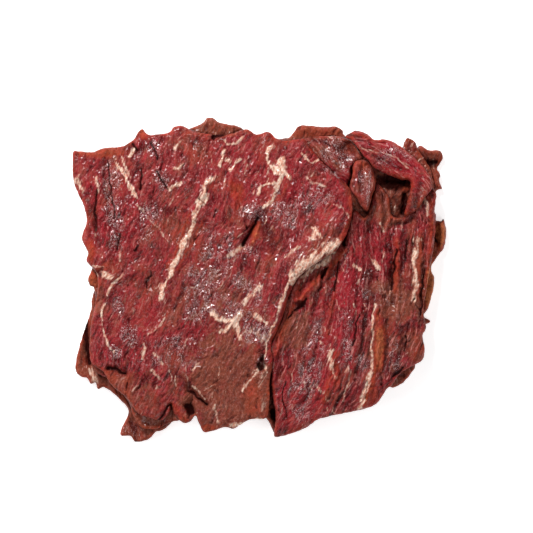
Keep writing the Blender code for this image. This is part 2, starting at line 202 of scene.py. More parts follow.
CRIMSON_FOLDS = (
    (((52, 67), (62, 64), (72, 59), (79, 51)), 5.0, 1.6), (((58, 60), (68, 57)), 3.5, -0.8),
)
CRUMPLE_LEFT_FOLDS = (
    (((43.5, 66.5), (43.5, 64.5)), 3.6, -2.8), (((30, 66), (37, 58), (42, 52)), 4.0, 1.2),
)
CRUMPLE_MIDDLE_FOLDS = (
    (((50, 57), (54.5, 50), (54, 42)), 4.5, 1.8),
)
BASE_FOLDS = (
    (((-87, -22), (-88, -32), (-86, -40)), 3.0, -2.2),
    (((91, 27), (92, 22), (90.5, 17)), 2.2, 1.6), (((86, 58.8), (84.5, 57.8)), 2.6, -1.8),
    (((-64, -70), (-60, -78)), 3.0, -1.2),
)
MIDDLE_FOLDS = (
    (((-57, -72), (-47, -70.5)), 3.0, -1.2), (((20, 75), (30, 74.6), (39, 74.6)), 2.6, 0.9),
    (((-24, 79.5), (-19, 76)), 2.6, 0.9),
)

# The sheets, from the lowest up; grain is the direction of the fibres in degrees
Sheet = namedtuple("Sheet", "name slot outline thickness folds grain seed")
SHEETS = (
    Sheet("base_sheet", "lower_meat", BASE_OUTLINE, 5.6, BASE_FOLDS, 100, 11),
    Sheet("middle_sheet", "lower_meat", MIDDLE_OUTLINE, 5.2, MIDDLE_FOLDS, 60, 23),
    Sheet("right_sheet", "fibrous_meat", RIGHT_OUTLINE, 5.0, RIGHT_FOLDS, 90, 37),
    Sheet("crumple_left", "pale_meat", CRUMPLE_LEFT_OUTLINE, 4.4, CRUMPLE_LEFT_FOLDS, 130, 41),
    Sheet("crumple_middle", "pale_meat", CRUMPLE_MIDDLE_OUTLINE, 4.2, CRUMPLE_MIDDLE_FOLDS, 95, 53),
    Sheet("crimson_fold", "fibrous_meat", CRIMSON_OUTLINE, 4.2, CRIMSON_FOLDS, 0, 67),
    Sheet("top_flap", "surface_meat", FLAP_OUTLINE, 5.0, FLAP_FOLDS, 68, 79),
)
FLAP = 6

# Fat: chart points of the line, half width in millimetres, and strength
FAT = {
    "top_flap": (
        (((216, 177), (206, 186), (206, 196)), 1.0, 0.9),
        (((206, 196), (200, 206), (195, 218)), 1.9, 1.0),
        (((195, 218), (190, 233), (184, 244)), 1.0, 0.95),
        (((184, 244), (180, 252), (176, 262)), 1.8, 1.0),
        (((176, 262), (170, 275), (165, 285), (162, 297)), 1.4, 0.95),
        (((165, 313), (160, 325), (148, 335)), 0.5, 0.5), (((144, 343), (143, 358)), 0.8, 0.7),
        (((117, 163), (124, 175), (131, 187), (137, 198)), 0.9, 0.9),
        (((122, 157), (130, 178)), 0.6, 0.6), (((97, 178), (99, 192)), 0.7, 0.6),
        (((77, 181), (83, 190)), 1.5, 0.7), (((108, 148), (116, 160)), 0.6, 0.5),
        (((128, 156), (135, 150)), 0.9, 0.7), (((176, 170), (184, 164)), 0.8, 0.8),
        (((170, 190), (181, 183)), 0.8, 0.8), (((175, 150), (182, 140)), 0.7, 0.7),
        (((138, 205), (150, 220), (162, 232), (170, 245)), 0.4, 0.45),
        (((221, 166), (225, 150)), 0.8, 0.9), (((230, 170), (240, 160)), 0.8, 0.9),
        (((226, 160), (230, 160)), 0.9, 0.8), (((224, 140), (230, 145), (243, 138)), 0.6, 0.7),
        (((271, 147), (266, 157), (270, 166), (275, 173)), 1.0, 0.9),
        (((282, 161), (283, 172), (290, 178)), 1.5, 1.0), (((273, 168), (283, 173)), 1.5, 1.0),
        (((283, 173), (278, 186), (272, 200), (265, 208)), 0.9, 0.9),
        (((275, 183), (262, 186), (258, 196)), 0.7, 0.8),
        (((300, 155), (311, 163), (319, 160)), 0.5, 0.7),
        (((305, 178), (315, 184), (325, 188)), 0.6, 0.6), (((312, 228), (320, 236)), 0.9, 0.8),
        (((228, 256), (236, 250), (243, 247)), 0.9, 0.7),
        (((125, 275), (112, 285), (108, 298), (103, 308), (104, 325), (107, 340), (115, 353)),
         0.55, 0.8),
        (((93, 265), (104, 266)), 0.7, 0.7), (((94, 268), (98, 280)), 0.6, 0.6),
        (((104, 274), (110, 277)), 1.4, 0.7),
        (((213, 313), (222, 320), (235, 322), (240, 337)), 1.3, 1.0),
        (((222, 331), (235, 322), (239, 313)), 1.2, 0.95),
        (((258, 287), (252, 294), (245, 303)), 1.5, 0.9), (((256, 315), (266, 323)), 1.3, 0.85),
        (((155, 353), (163, 363)), 0.8, 0.6), (((152, 370), (160, 378)), 0.8, 0.6),
        (((262, 364), (256, 372), (250, 380), (243, 390)), 0.6, 0.7),
        (((264, 374), (258, 388), (262, 402), (260, 412)), 1.3, 0.4),
        (((232, 425), (248, 423), (265, 418)), 1.1, 0.8),
        (((213, 405), (216, 414), (219, 423)), 0.8, 0.6), (((190, 370), (200, 362)), 0.5, 0.6),
        (((186, 365), (188, 385)), 0.5, 0.5), (((170, 370), (172, 380)), 0.5, 0.5),
        (((206, 398), (199, 391), (192, 386)), 0.6, 0.7),
        (((338, 243), (330, 250), (322, 252)), 1.6, 0.9),
        (((329, 248), (318, 258), (306, 264), (298, 272)), 3.5, 1.0),
        (((312, 268), (300, 274), (291, 282)), 1.6, 1.0),
        (((246, 331), (257, 333), (266, 338)), 2.0, 0.5),
        (((291, 278), (284, 292), (279, 308), (273, 324), (269, 336)), 0.55, 0.95),
        (((269, 336), (266, 348), (264, 360), (266, 372)), 0.5, 0.8),
        (((322, 238), (316, 232), (312, 240)), 1.1, 0.7),
        (((300, 246), (292, 250), (286, 258)), 0.7, 0.6),
        (((334, 205), (347, 214), (345, 228)), 0.6, 0.5),
    ),
    "right_sheet": (
        (((335, 253), (325, 261), (313, 269), (302, 277)), 1.2, 0.9),
        (((353, 264), (359, 270)), 0.8, 0.8), (((374, 262), (378, 268)), 0.9, 0.8),
        (((419, 240), (413, 262), (415, 280), (413, 300)), 1.2, 0.85),
        (((413, 240), (414, 250)), 1.0, 0.7), (((374, 305), (372, 325), (371, 350)), 0.6, 0.9),
        (((371, 350), (371, 368)), 0.6, 0.75), (((371, 372), (367, 385), (360, 408)), 1.2, 0.9),
        (((330, 352), (331, 364), (334, 376)), 1.5, 0.95),
        (((351, 370), (347, 385), (343, 400)), 0.6, 0.6), (((323, 392), (328, 400)), 0.7, 0.6),
        (((316, 382), (320, 390)), 0.7, 0.6), (((424, 198), (428, 215)), 1.2, 0.8),
        (((380, 223), (384, 232)), 0.8, 0.7),
    ),
    "crumple_left": (
        (((322, 128), (330, 137)), 0.9, 0.8),
    ),
    "crimson_fold": (
        (((375, 152), (392, 157), (408, 168)), 0.5, 0.5), (((356, 146), (372, 152)), 0.5, 0.45),
    ),
    "base_sheet": (
        (((91, 272), (92, 285)), 1.6, 0.5), (((90, 371), (94, 381)), 1.3, 0.6),
    ),
}

# Slits and holes: chart points of the line, half width and depth in millimetres
SLITS = {
    "top_flap": (
        (((97, 190), (95, 210), (96, 230)), 0.7, 1.2), (((142, 168), (141, 190)), 0.6, 1.0),
        (((121, 235), (117, 250)), 0.7, 1.1), (((134, 144), (138, 150)), 0.9, 1.0),
        (((190, 129), (206, 128)), 0.9, 1.2), (((214, 137), (221, 132), (228, 127)), 2.2, 2.4),
        (((258, 217), (253, 228), (247, 238), (243, 247)), 0.9, 1.6),
        (((151, 272), (147, 288)), 0.6, 1.0), (((140, 245), (136, 250)), 0.6, 0.9),
        (((262, 355), (262, 359)), 1.1, 2.0), (((259, 364), (261, 369)), 1.0, 1.8),
        (((189, 391), (198, 397), (206, 404)), 0.9, 1.6), (((187, 406), (193, 412)), 1.6, 2.2),
        (((171, 404), (164, 412), (158, 421)), 0.8, 1.4),
        (((108, 368), (117, 370), (125, 374)), 1.0, 1.6),
        (((318, 158), (326, 165), (334, 173)), 0.6, 1.0),
        (((107, 160), (110, 180), (113, 200), (115, 220)), 0.5, 0.6),
        (((152, 143), (158, 160)), 0.7, 0.8), (((157, 172), (168, 190)), 0.7, 0.8),
    ),
    "right_sheet": (
        (((346, 230), (343, 245)), 1.2, 1.8), (((338, 262), (334, 290)), 0.8, 1.2),
        (((396, 250), (393, 270), (391, 290)), 0.8, 1.4), (((407, 240), (404, 260)), 0.7, 1.1),
        (((424, 270), (422, 290), (420, 315)), 0.6, 1.0),
        (((358, 315), (355, 330), (352, 345)), 0.6, 0.9), (((405, 335), (403, 350)), 0.5, 0.9),
        (((402, 368), (393, 376)), 0.9, 1.4), (((285, 380), (283, 400), (287, 418)), 0.4, 0.7),
        (((326, 268), (322, 277)), 1.0, 1.6), (((306, 299), (296, 310)), 0.9, 1.5),
        (((293, 312), (288, 319)), 0.5, 1.0),
    ),
    "crumple_left": (
        (((350, 182), (353, 190)), 1.2, 1.6), (((333, 127), (341, 133)), 0.6, 0.8),
    ),
    "crumple_middle": (
        (((364, 211), (367, 219)), 1.2, 1.6),
    ),
    "base_sheet": (
        (((86, 322), (85, 342), (89, 364)), 1.1, 1.8), (((436, 233), (437, 242)), 0.9, 1.6),
        (((428, 163), (437, 161)), 1.2, 1.6), (((408, 141), (416, 147)), 1.0, 1.0),
    ),
    "middle_sheet": (
        (((272, 411), (276, 420)), 1.4, 1.8), (((405, 195), (404, 213)), 1.4, 1.6),
    ),
}

# Ridges and valleys: chart points of the line, half width and height in millimetres,
# tint and its strength
# The hollow_shade and hole_shade tints paint shade into the valleys; wet places gloss and painted
# glints
RIDGES = {
    "top_flap": (
        (((308, 144), (320, 158), (332, 172), (344, 186)), 1.6, -0.9, "hollow_shade", 0.9),
        (((349, 196), (351, 212), (346, 230), (338, 243)), 1.4, 0.4, "orange", 0.8),
        (((340, 204), (343, 220), (337, 236)), 1.8, -0.5, "hollow_shade", 0.5),
        (((321, 262), (330, 258), (339, 252)), 1.1, 0.3, "orange", 0.95),
        (((303, 275), (312, 270), (321, 262)), 0.5, -0.25, "orange", 0.9),
        (((306, 258), (315, 254), (324, 246)), 0.45, -0.2, "orange", 0.8),
        (((232, 184), (240, 198), (236, 208)), 2.2, 0.4, "orange", 0.6),
        (((259, 223), (256, 235), (251, 245)), 1.1, 0.5, "orange", 1.0),
        (((190, 213), (180, 242), (168, 268)), 0.7, 0.15, "orange", 0.8),
        (((203, 220), (192, 244), (179, 270)), 0.6, 0.1, "orange", 0.75),
        (((286, 186), (278, 200), (270, 210)), 0.7, 0.1, "orange", 0.6),
        (((262, 220), (270, 232), (272, 242)), 3.0, -0.6, "hollow_shade", 0.8),
        (((128, 262), (118, 280), (112, 300)), 2.0, -0.6, "hollow_shade", 0.6),
        (((92, 262), (100, 268), (112, 262)), 1.6, 0.5, "orange", 0.5),
        (((86, 196), (92, 215), (98, 240)), 1.6, -0.7, "hollow_shade", 0.7),
        (((104, 160), (106, 190), (112, 225), (122, 250)), 1.6, -0.6, "hollow_shade", 0.8),
        (((128, 146), (138, 152), (147, 146)), 1.8, -0.7, "hollow_shade", 0.8),
        (((186, 134), (200, 137), (214, 141)), 1.8, 0.6, "orange", 0.4),
        (((150, 196), (158, 206), (170, 210)), 2.0, -0.6, "hollow_shade", 0.6),
        (((187, 345), (200, 352), (214, 350)), 2.4, 0.5, "brown", 0.6),
        (((176, 372), (188, 384), (192, 398)), 2.0, -0.8, "hollow_shade", 0.6),
        (((226, 352), (236, 366), (240, 384)), 2.4, -0.5, "hollow_shade", 0.4),
        (((252, 392), (256, 406), (262, 414)), 1.4, 0.4, "orange", 0.6),
        (((130, 376), (127, 392), (134, 408)), 1.8, 0.5, "orange", 0.6),
        (((172, 404), (180, 414), (184, 421)), 2.0, 0.5, "orange", 0.7),
        (((84, 352), (92, 366), (106, 380)), 1.6, 0.4, "orange", 0.6),
    ),
    "right_sheet": (
        (((344, 250), (335, 262), (321, 275), (308, 289), (299, 301)), 1.6, 0.9, "orange", 0.85),
        (((350, 243), (342, 263), (328, 279), (313, 296)), 0.9, -0.8, "hollow_shade", 1.0),
        (((374, 188), (378, 200), (381, 212), (379, 226)), 1.7, 1.2, "orange", 0.2),
        (((389, 200), (391, 214), (387, 228)), 1.0, 0.7, "orange", 0.7),
        (((383, 196), (386, 212), (384, 224)), 1.2, -0.6, "hollow_shade", 0.7),
        (((366, 205), (367, 220), (370, 232)), 1.6, -1.3, "hollow_shade", 1.0),
        (((357, 196), (356, 210), (352, 228)), 1.5, 0.8, "crimson", 0.6),
        (((393, 216), (400, 219), (408, 215)), 1.5, 0.9, "orange", 0.4),
        (((396, 224), (406, 222), (412, 217)), 1.2, -1.3, "hollow_shade", 1.0),
        (((345, 244), (348, 280), (344, 320), (330, 362)), 2.6, 0.8, "crimson", 0.6),
        (((354, 242), (357, 280), (354, 318), (340, 356)), 1.0, -0.9, "hollow_shade", 0.9),
        (((366, 236), (369, 262), (368, 300)), 2.6, -0.6, "hollow_shade", 0.8),
        (((383, 240), (384, 275), (382, 310)), 1.8, 0.7, "crimson", 0.7),
        (((390, 236), (391, 262), (388, 292)), 1.0, -1.1, "hollow_shade", 1.0),
        (((396, 240), (397, 262), (394, 292)), 1.2, 0.8, "orange", 0.8),
        (((402, 232), (402, 262), (399, 300)), 1.0, -0.8, "hollow_shade", 0.9),
        (((408, 226), (408, 262), (405, 300), (404, 330)), 1.5, 0.6, "brown", 0.6),
        (((420, 232), (419, 262), (418, 300)), 1.2, 0.6, "orange", 0.7),
        (((423, 262), (421, 290), (419, 322)), 0.9, -1.0, "hollow_shade", 1.0),
        (((430, 196), (431, 225), (429, 262), (429, 310)), 1.5, 0.6, "orange", 0.8),
        (((332, 264), (326, 300), (318, 340), (308, 372)), 1.2, -0.8, "hollow_shade", 0.8),
        (((338, 262), (333, 296), (326, 336)), 1.0, 0.6, "orange", 0.5),
        (((316, 282), (309, 310), (301, 340), (290, 372)), 1.4, 0.6, "brown", 0.7),
        (((322, 276), (315, 310), (306, 342)), 0.9, -0.7, "hollow_shade", 0.8),
        (((300, 288), (292, 308), (283, 330), (276, 352)), 1.6, 0.9, "orange", 0.7),
        (((377, 312), (378, 345), (372, 380), (364, 404)), 1.6, 0.7, "orange", 0.9),
        (((386, 320), (386, 352), (380, 384)), 1.0, -0.9, "hollow_shade", 0.9),
        (((364, 310), (362, 340), (356, 372)), 1.0, -0.8, "hollow_shade", 0.9),
        (((395, 330), (394, 355), (389, 378)), 1.6, 0.6, "brown", 0.6),
        (((402, 326), (401, 350), (397, 368)), 1.0, -1.0, "hollow_shade", 1.0),
        (((336, 352), (332, 368), (328, 384), (324, 400)), 1.3, 0.5, "orange", 0.8),
        (((346, 362), (341, 380), (337, 400)), 1.0, -0.7, "hollow_shade", 0.8),
        (((292, 374), (289, 395), (284, 418)), 1.0, -0.7, "hollow_shade", 0.9),
        (((302, 372), (298, 398), (292, 424)), 1.4, 0.6, "crimson", 0.8),
        (((312, 366), (308, 392), (304, 414)), 0.9, -0.6, "hollow_shade", 0.8),
        (((276, 376), (278, 400), (279, 428)), 1.2, 0.5, "crimson", 0.6),
        (((412, 330), (418, 345), (414, 360)), 1.6, 0.6, "orange", 0.6),
    ),
    "crumple_left": (
        (((342, 141), (349, 141), (354, 145)), 1.1, 0.8, "orange", 0.7),
        (((341, 149), (347, 149), (352, 150)), 1.9, -1.7, "hollow_shade", 1.0),
        (((334, 142), (332, 150), (336, 160)), 1.5, 0.8, "wet", 1.0),
        (((326, 140), (324, 150), (328, 160)), 1.2, -0.5, "hollow_shade", 0.6),
        (((341, 158), (348, 156), (353, 163)), 1.9, 0.8, "wet", 0.9),
        (((345, 166), (347, 174), (351, 182)), 1.5, 0.9, "crimson", 0.3),
        (((356, 146), (359, 151), (361, 154)), 0.8, 0.6, "fat", 0.5),
        (((352, 168), (352, 178), (351, 188)), 1.0, -1.8, "hole_shade", 0.9),
    ),
    "crumple_middle": (
        (((358, 165), (364, 163), (369, 169)), 1.8, 0.8, "orange", 0.7),
        (((371, 170), (374, 180), (371, 196)), 1.0, 0.3, "orange", 0.3),
        (((359, 174), (359, 184), (361, 192)), 1.1, -1.3, "hollow_shade", 1.0),
        (((366, 174), (367, 188), (366, 206)), 1.5, 1.3, "wet", 1.0),
    ),
    "crimson_fold": (
        (((350, 138), (358, 134), (370, 139)), 1.6, 0.5, "orange", 0.7),
        (((362, 152), (376, 158), (392, 166), (408, 172)), 1.2, -0.7, "hollow_shade", 0.6),
        (((374, 168), (390, 173), (409, 177)), 1.2, 0.6, "orange", 0.35),
        (((414, 178), (411, 192), (408, 208)), 1.0, 0.7, "orange", 0.4),
        (((420, 176), (419, 192), (414, 208)), 1.4, -0.8, "hollow_shade", 0.7),
        (((426, 170), (428, 186), (424, 200)), 1.3, 0.4, "orange", 0.3),
        (((364, 158), (370, 166), (380, 171)), 1.2, -0.6, "hollow_shade", 0.8),
    ),
    "base_sheet": (
        (((408, 141), (412, 146), (418, 149)), 1.6, 0.7, "orange", 0.5),
        (((420, 147), (430, 152), (440, 153)), 1.6, 0.8, "orange", 0.4),
        (((424, 161), (431, 164), (438, 163)), 2.0, -1.8, "hole_shade", 0.8),
        (((434, 172), (437, 182), (440, 187)), 1.4, 0.6, "orange", 0.4),
        (((441, 222), (445, 234), (441, 248)), 1.2, 0.6, "orange", 0.6),
    ),
    "middle_sheet": (
        (((384, 188), (388, 196), (390, 206)), 1.4, 0.7, "wet", 0.6),
        (((394, 186), (402, 186), (408, 188)), 2.2, 0.8, "orange", 0.9),
        (((396, 200), (400, 208), (402, 214)), 2.2, -1.2, "hole_shade", 0.8),
        (((378, 178), (390, 180), (404, 181)), 1.8, -1.5, "hole_shade", 1.0),
    ),
}

# Tinted areas: chart middle, half sizes in chart steps, and strength
TINTS = {
    "brown": {
        "top_flap": (
            (228, 392, 52, 56, 1.0), (212, 305, 62, 42, 0.45), (98, 298, 10, 12, 0.8),
            (265, 392, 12, 30, 0.6), (266, 231, 12, 12, 0.5), (120, 390, 30, 22, 0.8),
            (100, 150, 34, 8, 0.5), (236, 131, 14, 7, 0.6),
        ),
        "right_sheet": (
            (394, 300, 24, 24, 1.0), (414, 345, 16, 20, 0.8), (375, 345, 12, 30, 0.5),
            (296, 330, 16, 24, 0.9), (420, 285, 9, 34, 0.8), (395, 215, 12, 12, 0.8),
            (384, 210, 10, 30, 0.7),
        ),
        "crumple_left": ((335, 150, 24, 24, 0.3),),
        "crumple_middle": ((365, 185, 12, 28, 0.25),),
        "base_sheet": ((260, 280, 260, 260, 0.9),),
        "middle_sheet": ((260, 280, 260, 260, 0.8),),
    },
    "crimson": {
        "top_flap": (
            (148, 318, 18, 24, 0.7), (255, 175, 50, 40, 0.5), (330, 195, 22, 34, 0.6),
            (110, 215, 30, 60, 0.3),
        ),
        "right_sheet": (
            (348, 290, 14, 60, 0.9), (368, 248, 14, 18, 0.9), (300, 398, 34, 34, 0.8),
            (330, 330, 26, 60, 0.6),
        ),
        "crimson_fold": ((390, 165, 46, 30, 1.0),),
        "crumple_left": ((348, 172, 8, 16, 0.5),),
        "crumple_middle": ((362, 186, 8, 20, 0.5),),
    },
    "orange": {
        "top_flap": (
            (100, 153, 30, 5, 0.7), (144, 133, 7, 7, 0.8), (90, 250, 6, 12, 0.8),
            (237, 193, 7, 10, 0.7), (255, 232, 4, 10, 0.8), (253, 398, 10, 20, 0.5),
            (208, 429, 10, 5, 0.8), (181, 421, 8, 5, 0.8), (110, 378, 9, 10, 0.5),
            (330, 257, 12, 8, 0.5),
        ),
        "right_sheet": (
            (395, 270, 4, 22, 0.7), (379, 345, 7, 28, 0.9), (430, 288, 6, 28, 1.0),
            (335, 372, 6, 14, 0.6), (402, 188, 8, 9, 0.8), (372, 395, 8, 18, 0.5),
            (277, 325, 5, 20, 0.6),
        ),
        "crumple_left": ((346, 149, 6, 6, 0.7),),
        "crumple_middle": ((363, 168, 6, 6, 0.7),),
        "base_sheet": (
            (441, 236, 7, 18, 1.0), (431, 285, 8, 40, 1.0), (86, 300, 8, 40, 0.5),
            (119, 396, 14, 14, 0.5),
        ),
        "middle_sheet": ((310, 130, 60, 8, 0.5), (90, 280, 9, 12, 0.8)),
    },
    # Where the coat is glossy and glints and sheen are painted
    "wet": {
        "top_flap": (
            (251, 212, 14, 9, 1.0), (280, 208, 8, 7, 1.0), (290, 225, 8, 5, 1.0),
            (315, 198, 16, 13, 0.8), (113, 200, 8, 48, 0.65), (117, 232, 9, 18, 0.6),
            (154, 152, 7, 13, 0.8), (162, 180, 8, 12, 0.8), (119, 306, 8, 10, 0.8),
            (131, 335, 11, 12, 0.8), (115, 351, 8, 7, 0.8), (205, 291, 14, 30, 0.7),
            (230, 310, 12, 11, 1.0), (254, 332, 15, 11, 1.2), (158, 358, 6, 7, 0.7),
            (262, 362, 8, 10, 0.9), (150, 222, 12, 20, 0.5), (330, 167, 10, 10, 0.6),
            (222, 258, 36, 28, 0.38), (242, 300, 28, 22, 0.5), (180, 350, 30, 20, 0.4),
            (196, 300, 16, 34, 0.45), (286, 214, 26, 14, 0.45),
        ),
        "right_sheet": (
            (366, 294, 5, 6, 1.0), (347, 345, 6, 8, 1.0), (346, 356, 6, 5, 1.0),
            (361, 362, 9, 7, 1.0), (394, 356, 6, 16, 0.9), (388, 300, 16, 14, 0.5),
            (310, 350, 16, 34, 0.5), (300, 395, 14, 24, 0.6), (345, 320, 7, 12, 0.5),
            (346, 258, 4, 16, 0.4),
        ),
        "crumple_left": ((335, 152, 15, 15, 1.0), (346, 166, 7, 8, 0.9)),
        "crumple_middle": ((365, 176, 7, 10, 1.0), (364, 192, 6, 8, 1.0)),
        "crimson_fold": ((392, 158, 20, 10, 0.5),),
        "base_sheet": ((131, 430, 12, 6, 0.6),),
        "middle_sheet": ((153, 420, 18, 8, 0.6),),
    },
    # Shade painted into holes and slits and into the hollow under the crimson fold
    "hole_shade": {
        "top_flap": ((221, 132, 9, 6, 0.9), (262, 362, 4, 8, 0.8), (190, 409, 5, 6, 0.9)),
        "right_sheet": (
            (323, 273, 4, 5, 0.8), (301, 304, 6, 5, 0.8), (397, 372, 5, 3, 0.5),
        ),
        "base_sheet": ((87, 342, 5, 24, 0.5), (100, 381, 8, 7, 0.4), (433, 163, 7, 5, 0.6)),
        "middle_sheet": ((392, 182, 20, 8, 0.9), (404, 205, 5, 12, 0.8), (275, 415, 5, 7, 0.8)),
    },
}
TINT_NAMES = ("fat", "brown", "crimson", "orange", "wet", "hole_shade", "hollow_shade")


def smoothstep(low, high, value):
    t = np.clip((value - low) / (high - low), 0.0, 1.0)
    return t * t * (3.0 - 2.0 * t)


def soft_max(a, b):
    return 0.5 * (a + b + np.sqrt((a - b) ** 2 + CONTACT_SOFTNESS ** 2))


def from_chart(points):
    chart = np.array(points, dtype=float)
    x = (chart[:, 0] - CHART_MIDDLE[0]) * CHART_STEP
    y = (CHART_MIDDLE[1] - chart[:, 1]) * CHART_STEP
    return np.c_[x, y]


def curve_through(points, step, closed):
    """Points along a smooth curve through the given ones, about a step apart."""
    given = np.array(points, dtype=float)
    count = len(given)
    pieces = []
    for i in range(count if closed else count - 1):
        around = [i - 1, i, i + 1, i + 2]
        if closed:
            a, b, c, d = (given[k % count] for k in around)
        else:
            a, b, c, d = (given[min(max(k, 0), count - 1)] for k in around)
        parts = max(1, round(float(np.linalg.norm(c - b)) / step))
        t = np.arange(parts)[:, None] / parts
        pieces.append(0.5 * (2 * b + (c - a) * t + (2 * a - 5 * b + 4 * c - d) * t ** 2
                             + (3 * b - a - 3 * c + d) * t ** 3))
    if not closed:
        pieces.append(given[-1:])
    return np.concatenate(pieces)


def distance_to_lines(points, starts, ends):
    """Distance of each point to the nearest of the straight lines."""
    along = ends - starts
    length_squared = (along ** 2).sum(1)
    result = np.empty(len(points))
    for first in range(0, len(points), BLOCK):
        block = points[first:first + BLOCK]
        away = block[:, None, :] - starts[None]
        t = np.clip((away * along[None]).sum(2) / length_squared, 0.0, 1.0)
        nearest = away - t[..., None] * along[None]
        result[first:first + BLOCK] = np.sqrt((nearest ** 2).sum(2).min(1))
    return result


def is_inside(points, ring):
    following = np.roll(ring, -1, axis=0)
    rise = following[:, 1] - ring[:, 1]
    slope = (following[:, 0] - ring[:, 0]) / np.where(rise == 0.0, 1.0, rise)
    inside = np.zeros(len(points), dtype=bool)
    for first in range(0, len(points), BLOCK):
        x = points[first:first + BLOCK, 0:1]
        y = points[first:first + BLOCK, 1:2]
        crosses = (ring[None, :, 1] > y) != (following[None, :, 1] > y)
        left_of = x < ring[None, :, 0] + (y - ring[None, :, 1]) * slope[None]
        inside[first:first + BLOCK] = (crosses & left_of).sum(1) % 2 == 1
    return inside


def outside_distance(points, ring):
    """Distance from each point to the ring, below zero inside it."""
    distance = distance_to_lines(points, ring, np.roll(ring, -1, axis=0))
    return np.where(is_inside(points, ring), -distance, distance)


def lattice_noise(points, cell, seed):
    """Smooth seeded noise from about -1 to 1; cell is a length, or one for each direction."""
    turns = np.random.default_rng(seed).uniform(0.0, 2.0 * math.pi, (256, 256))
    scaled = points / np.array(cell, dtype=float) + NOISE_SHIFT
    corner = np.floor(scaled).astype(int)
    part = scaled - corner
    fade = part ** 3 * (part * (part * 6.0 - 15.0) + 10.0)
    total = 0.0
    for i in (0, 1):
        for j in (0, 1):
            turn = turns[(corner[:, 0] + i) % 256, (corner[:, 1] + j) % 256]
            slope = np.cos(turn) * (part[:, 0] - i) + np.sin(turn) * (part[:, 1] - j)
            weight_x = fade[:, 0] if i else 1.0 - fade[:, 0]
            weight_y = fade[:, 1] if j else 1.0 - fade[:, 1]
            total = total + weight_x * weight_y * slope
    return total * NOISE_SWING


def crown(points):
    """Share of the full height: one in the middle of the stack, less at its edges."""
    reach = ((np.abs(points[:, 0]) / HALF_LENGTH) ** 3
             + (np.abs(points[:, 1]) / HALF_WIDTH) ** 3) ** (1 / 3)
    return 1.0 - (1.0 - EDGE_HEIGHT_SHARE) * smoothstep(EDGE_FALL_START, EDGE_FALL_END, reach)


def thickness_at(order, points):
    x, y = points[:, 0], points[:, 1]
    swing = np.sin(0.062 * x + 2.1 * order) * np.sin(0.071 * y + 1.3 * order)
    return SHEETS[order].thickness * (crown(points) + THICKNESS_SWING * swing)


def level_grid():
    x = np.arange(-HALF_LENGTH - LEVEL_MARGIN, HALF_LENGTH + LEVEL_MARGIN, LEVEL_STEP)
    y = np.arange(-HALF_WIDTH - LEVEL_MARGIN, HALF_WIDTH + LEVEL_MARGIN, LEVEL_STEP)
    across, along = np.meshgrid(x, y, indexing="ij")
    return np.c_[across.ravel(), along.ravel()], (len(x), len(y))


def sample(level, points):
    """Value of a level at each point, blended between the four nearest grid points."""
    column = (points[:, 0] + HALF_LENGTH + LEVEL_MARGIN) / LEVEL_STEP
    row = (points[:, 1] + HALF_WIDTH + LEVEL_MARGIN) / LEVEL_STEP
    i = np.clip(np.floor(column).astype(int), 0, level.shape[0] - 2)
    j = np.clip(np.floor(row).astype(int), 0, level.shape[1] - 2)
    u, v = column - i, row - j
    return ((1 - u) * (1 - v) * level[i, j] + u * (1 - v) * level[i + 1, j]
            + (1 - u) * v * level[i, j + 1] + u * v * level[i + 1, j + 1])


def make_levels():
    """Distance to each sheet's outline, and the height of each sheet's underside."""
    grid, size = level_grid()
    distances = []
    undersides = []
    carrying = None
    for order, sheet in enumerate(SHEETS):
        underside = carrying + LAYER_GAP if order else np.zeros(len(grid))
        ring = curve_through(sheet.outline, LEVEL_OUTLINE_STEP, closed=True)
        distance = outside_distance(grid, ring)
        held = (underside + thickness_at(order, grid)) * (
            1.0 - smoothstep(0.0, DRAPE_REACH, distance))
        carrying = soft_max(carrying, held) if order else held
        distances.append(distance.reshape(size))
        undersides.append(underside.reshape(size))
    return distances, undersides


def near_line(points, line, reach):
    """Distance to a curve through the line's points, worked out only within its reach."""
    curve = curve_through(line, FEATURE_LINE_STEP, closed=False)
    low, high = curve.min(0) - reach, curve.max(0) + reach
    close = ((points > low) & (points < high)).all(1)
    distance = np.full(len(points), FAR_AWAY)
    if close.any():
        distance[close] = distance_to_lines(points[close], curve[:-1], curve[1:])
    return distance


def bell(distance, half_width, sharpness=1.0):
    return np.exp(-sharpness * (distance / half_width) ** 2)


def grain_of(order, points):
    """Coordinates across and along the muscle fibres of a sheet."""
    sheet = SHEETS[order]
    x, y = points[:, 0], points[:, 1]
    if sheet.name == "right_sheet":
        below = np.clip(FIBRE_BEND_START - y, 0.0, None)
        across = x + FIBRE_BEND * below ** 2
        along = y
    elif sheet.name == "crimson_fold":
        dx, dy = x - CRIMSON_GRAIN_CENTRE[0], y - CRIMSON_GRAIN_CENTRE[1]
        across = np.hypot(dx, dy)
        along = CRIMSON_GRAIN_RADIUS * np.arctan2(dy, dx)
    else:
        angle = math.radians(sheet.grain)
        across = x * math.sin(angle) - y * math.cos(angle)
        along = x * math.cos(angle) + y * math.sin(angle)
    warp = GRAIN_WARP * lattice_noise(points, 22.0, sheet.seed)
    warp += GRAIN_CURL * lattice_noise(points, 8.0, sheet.seed + 14)
    return np.c_[across + warp, along]


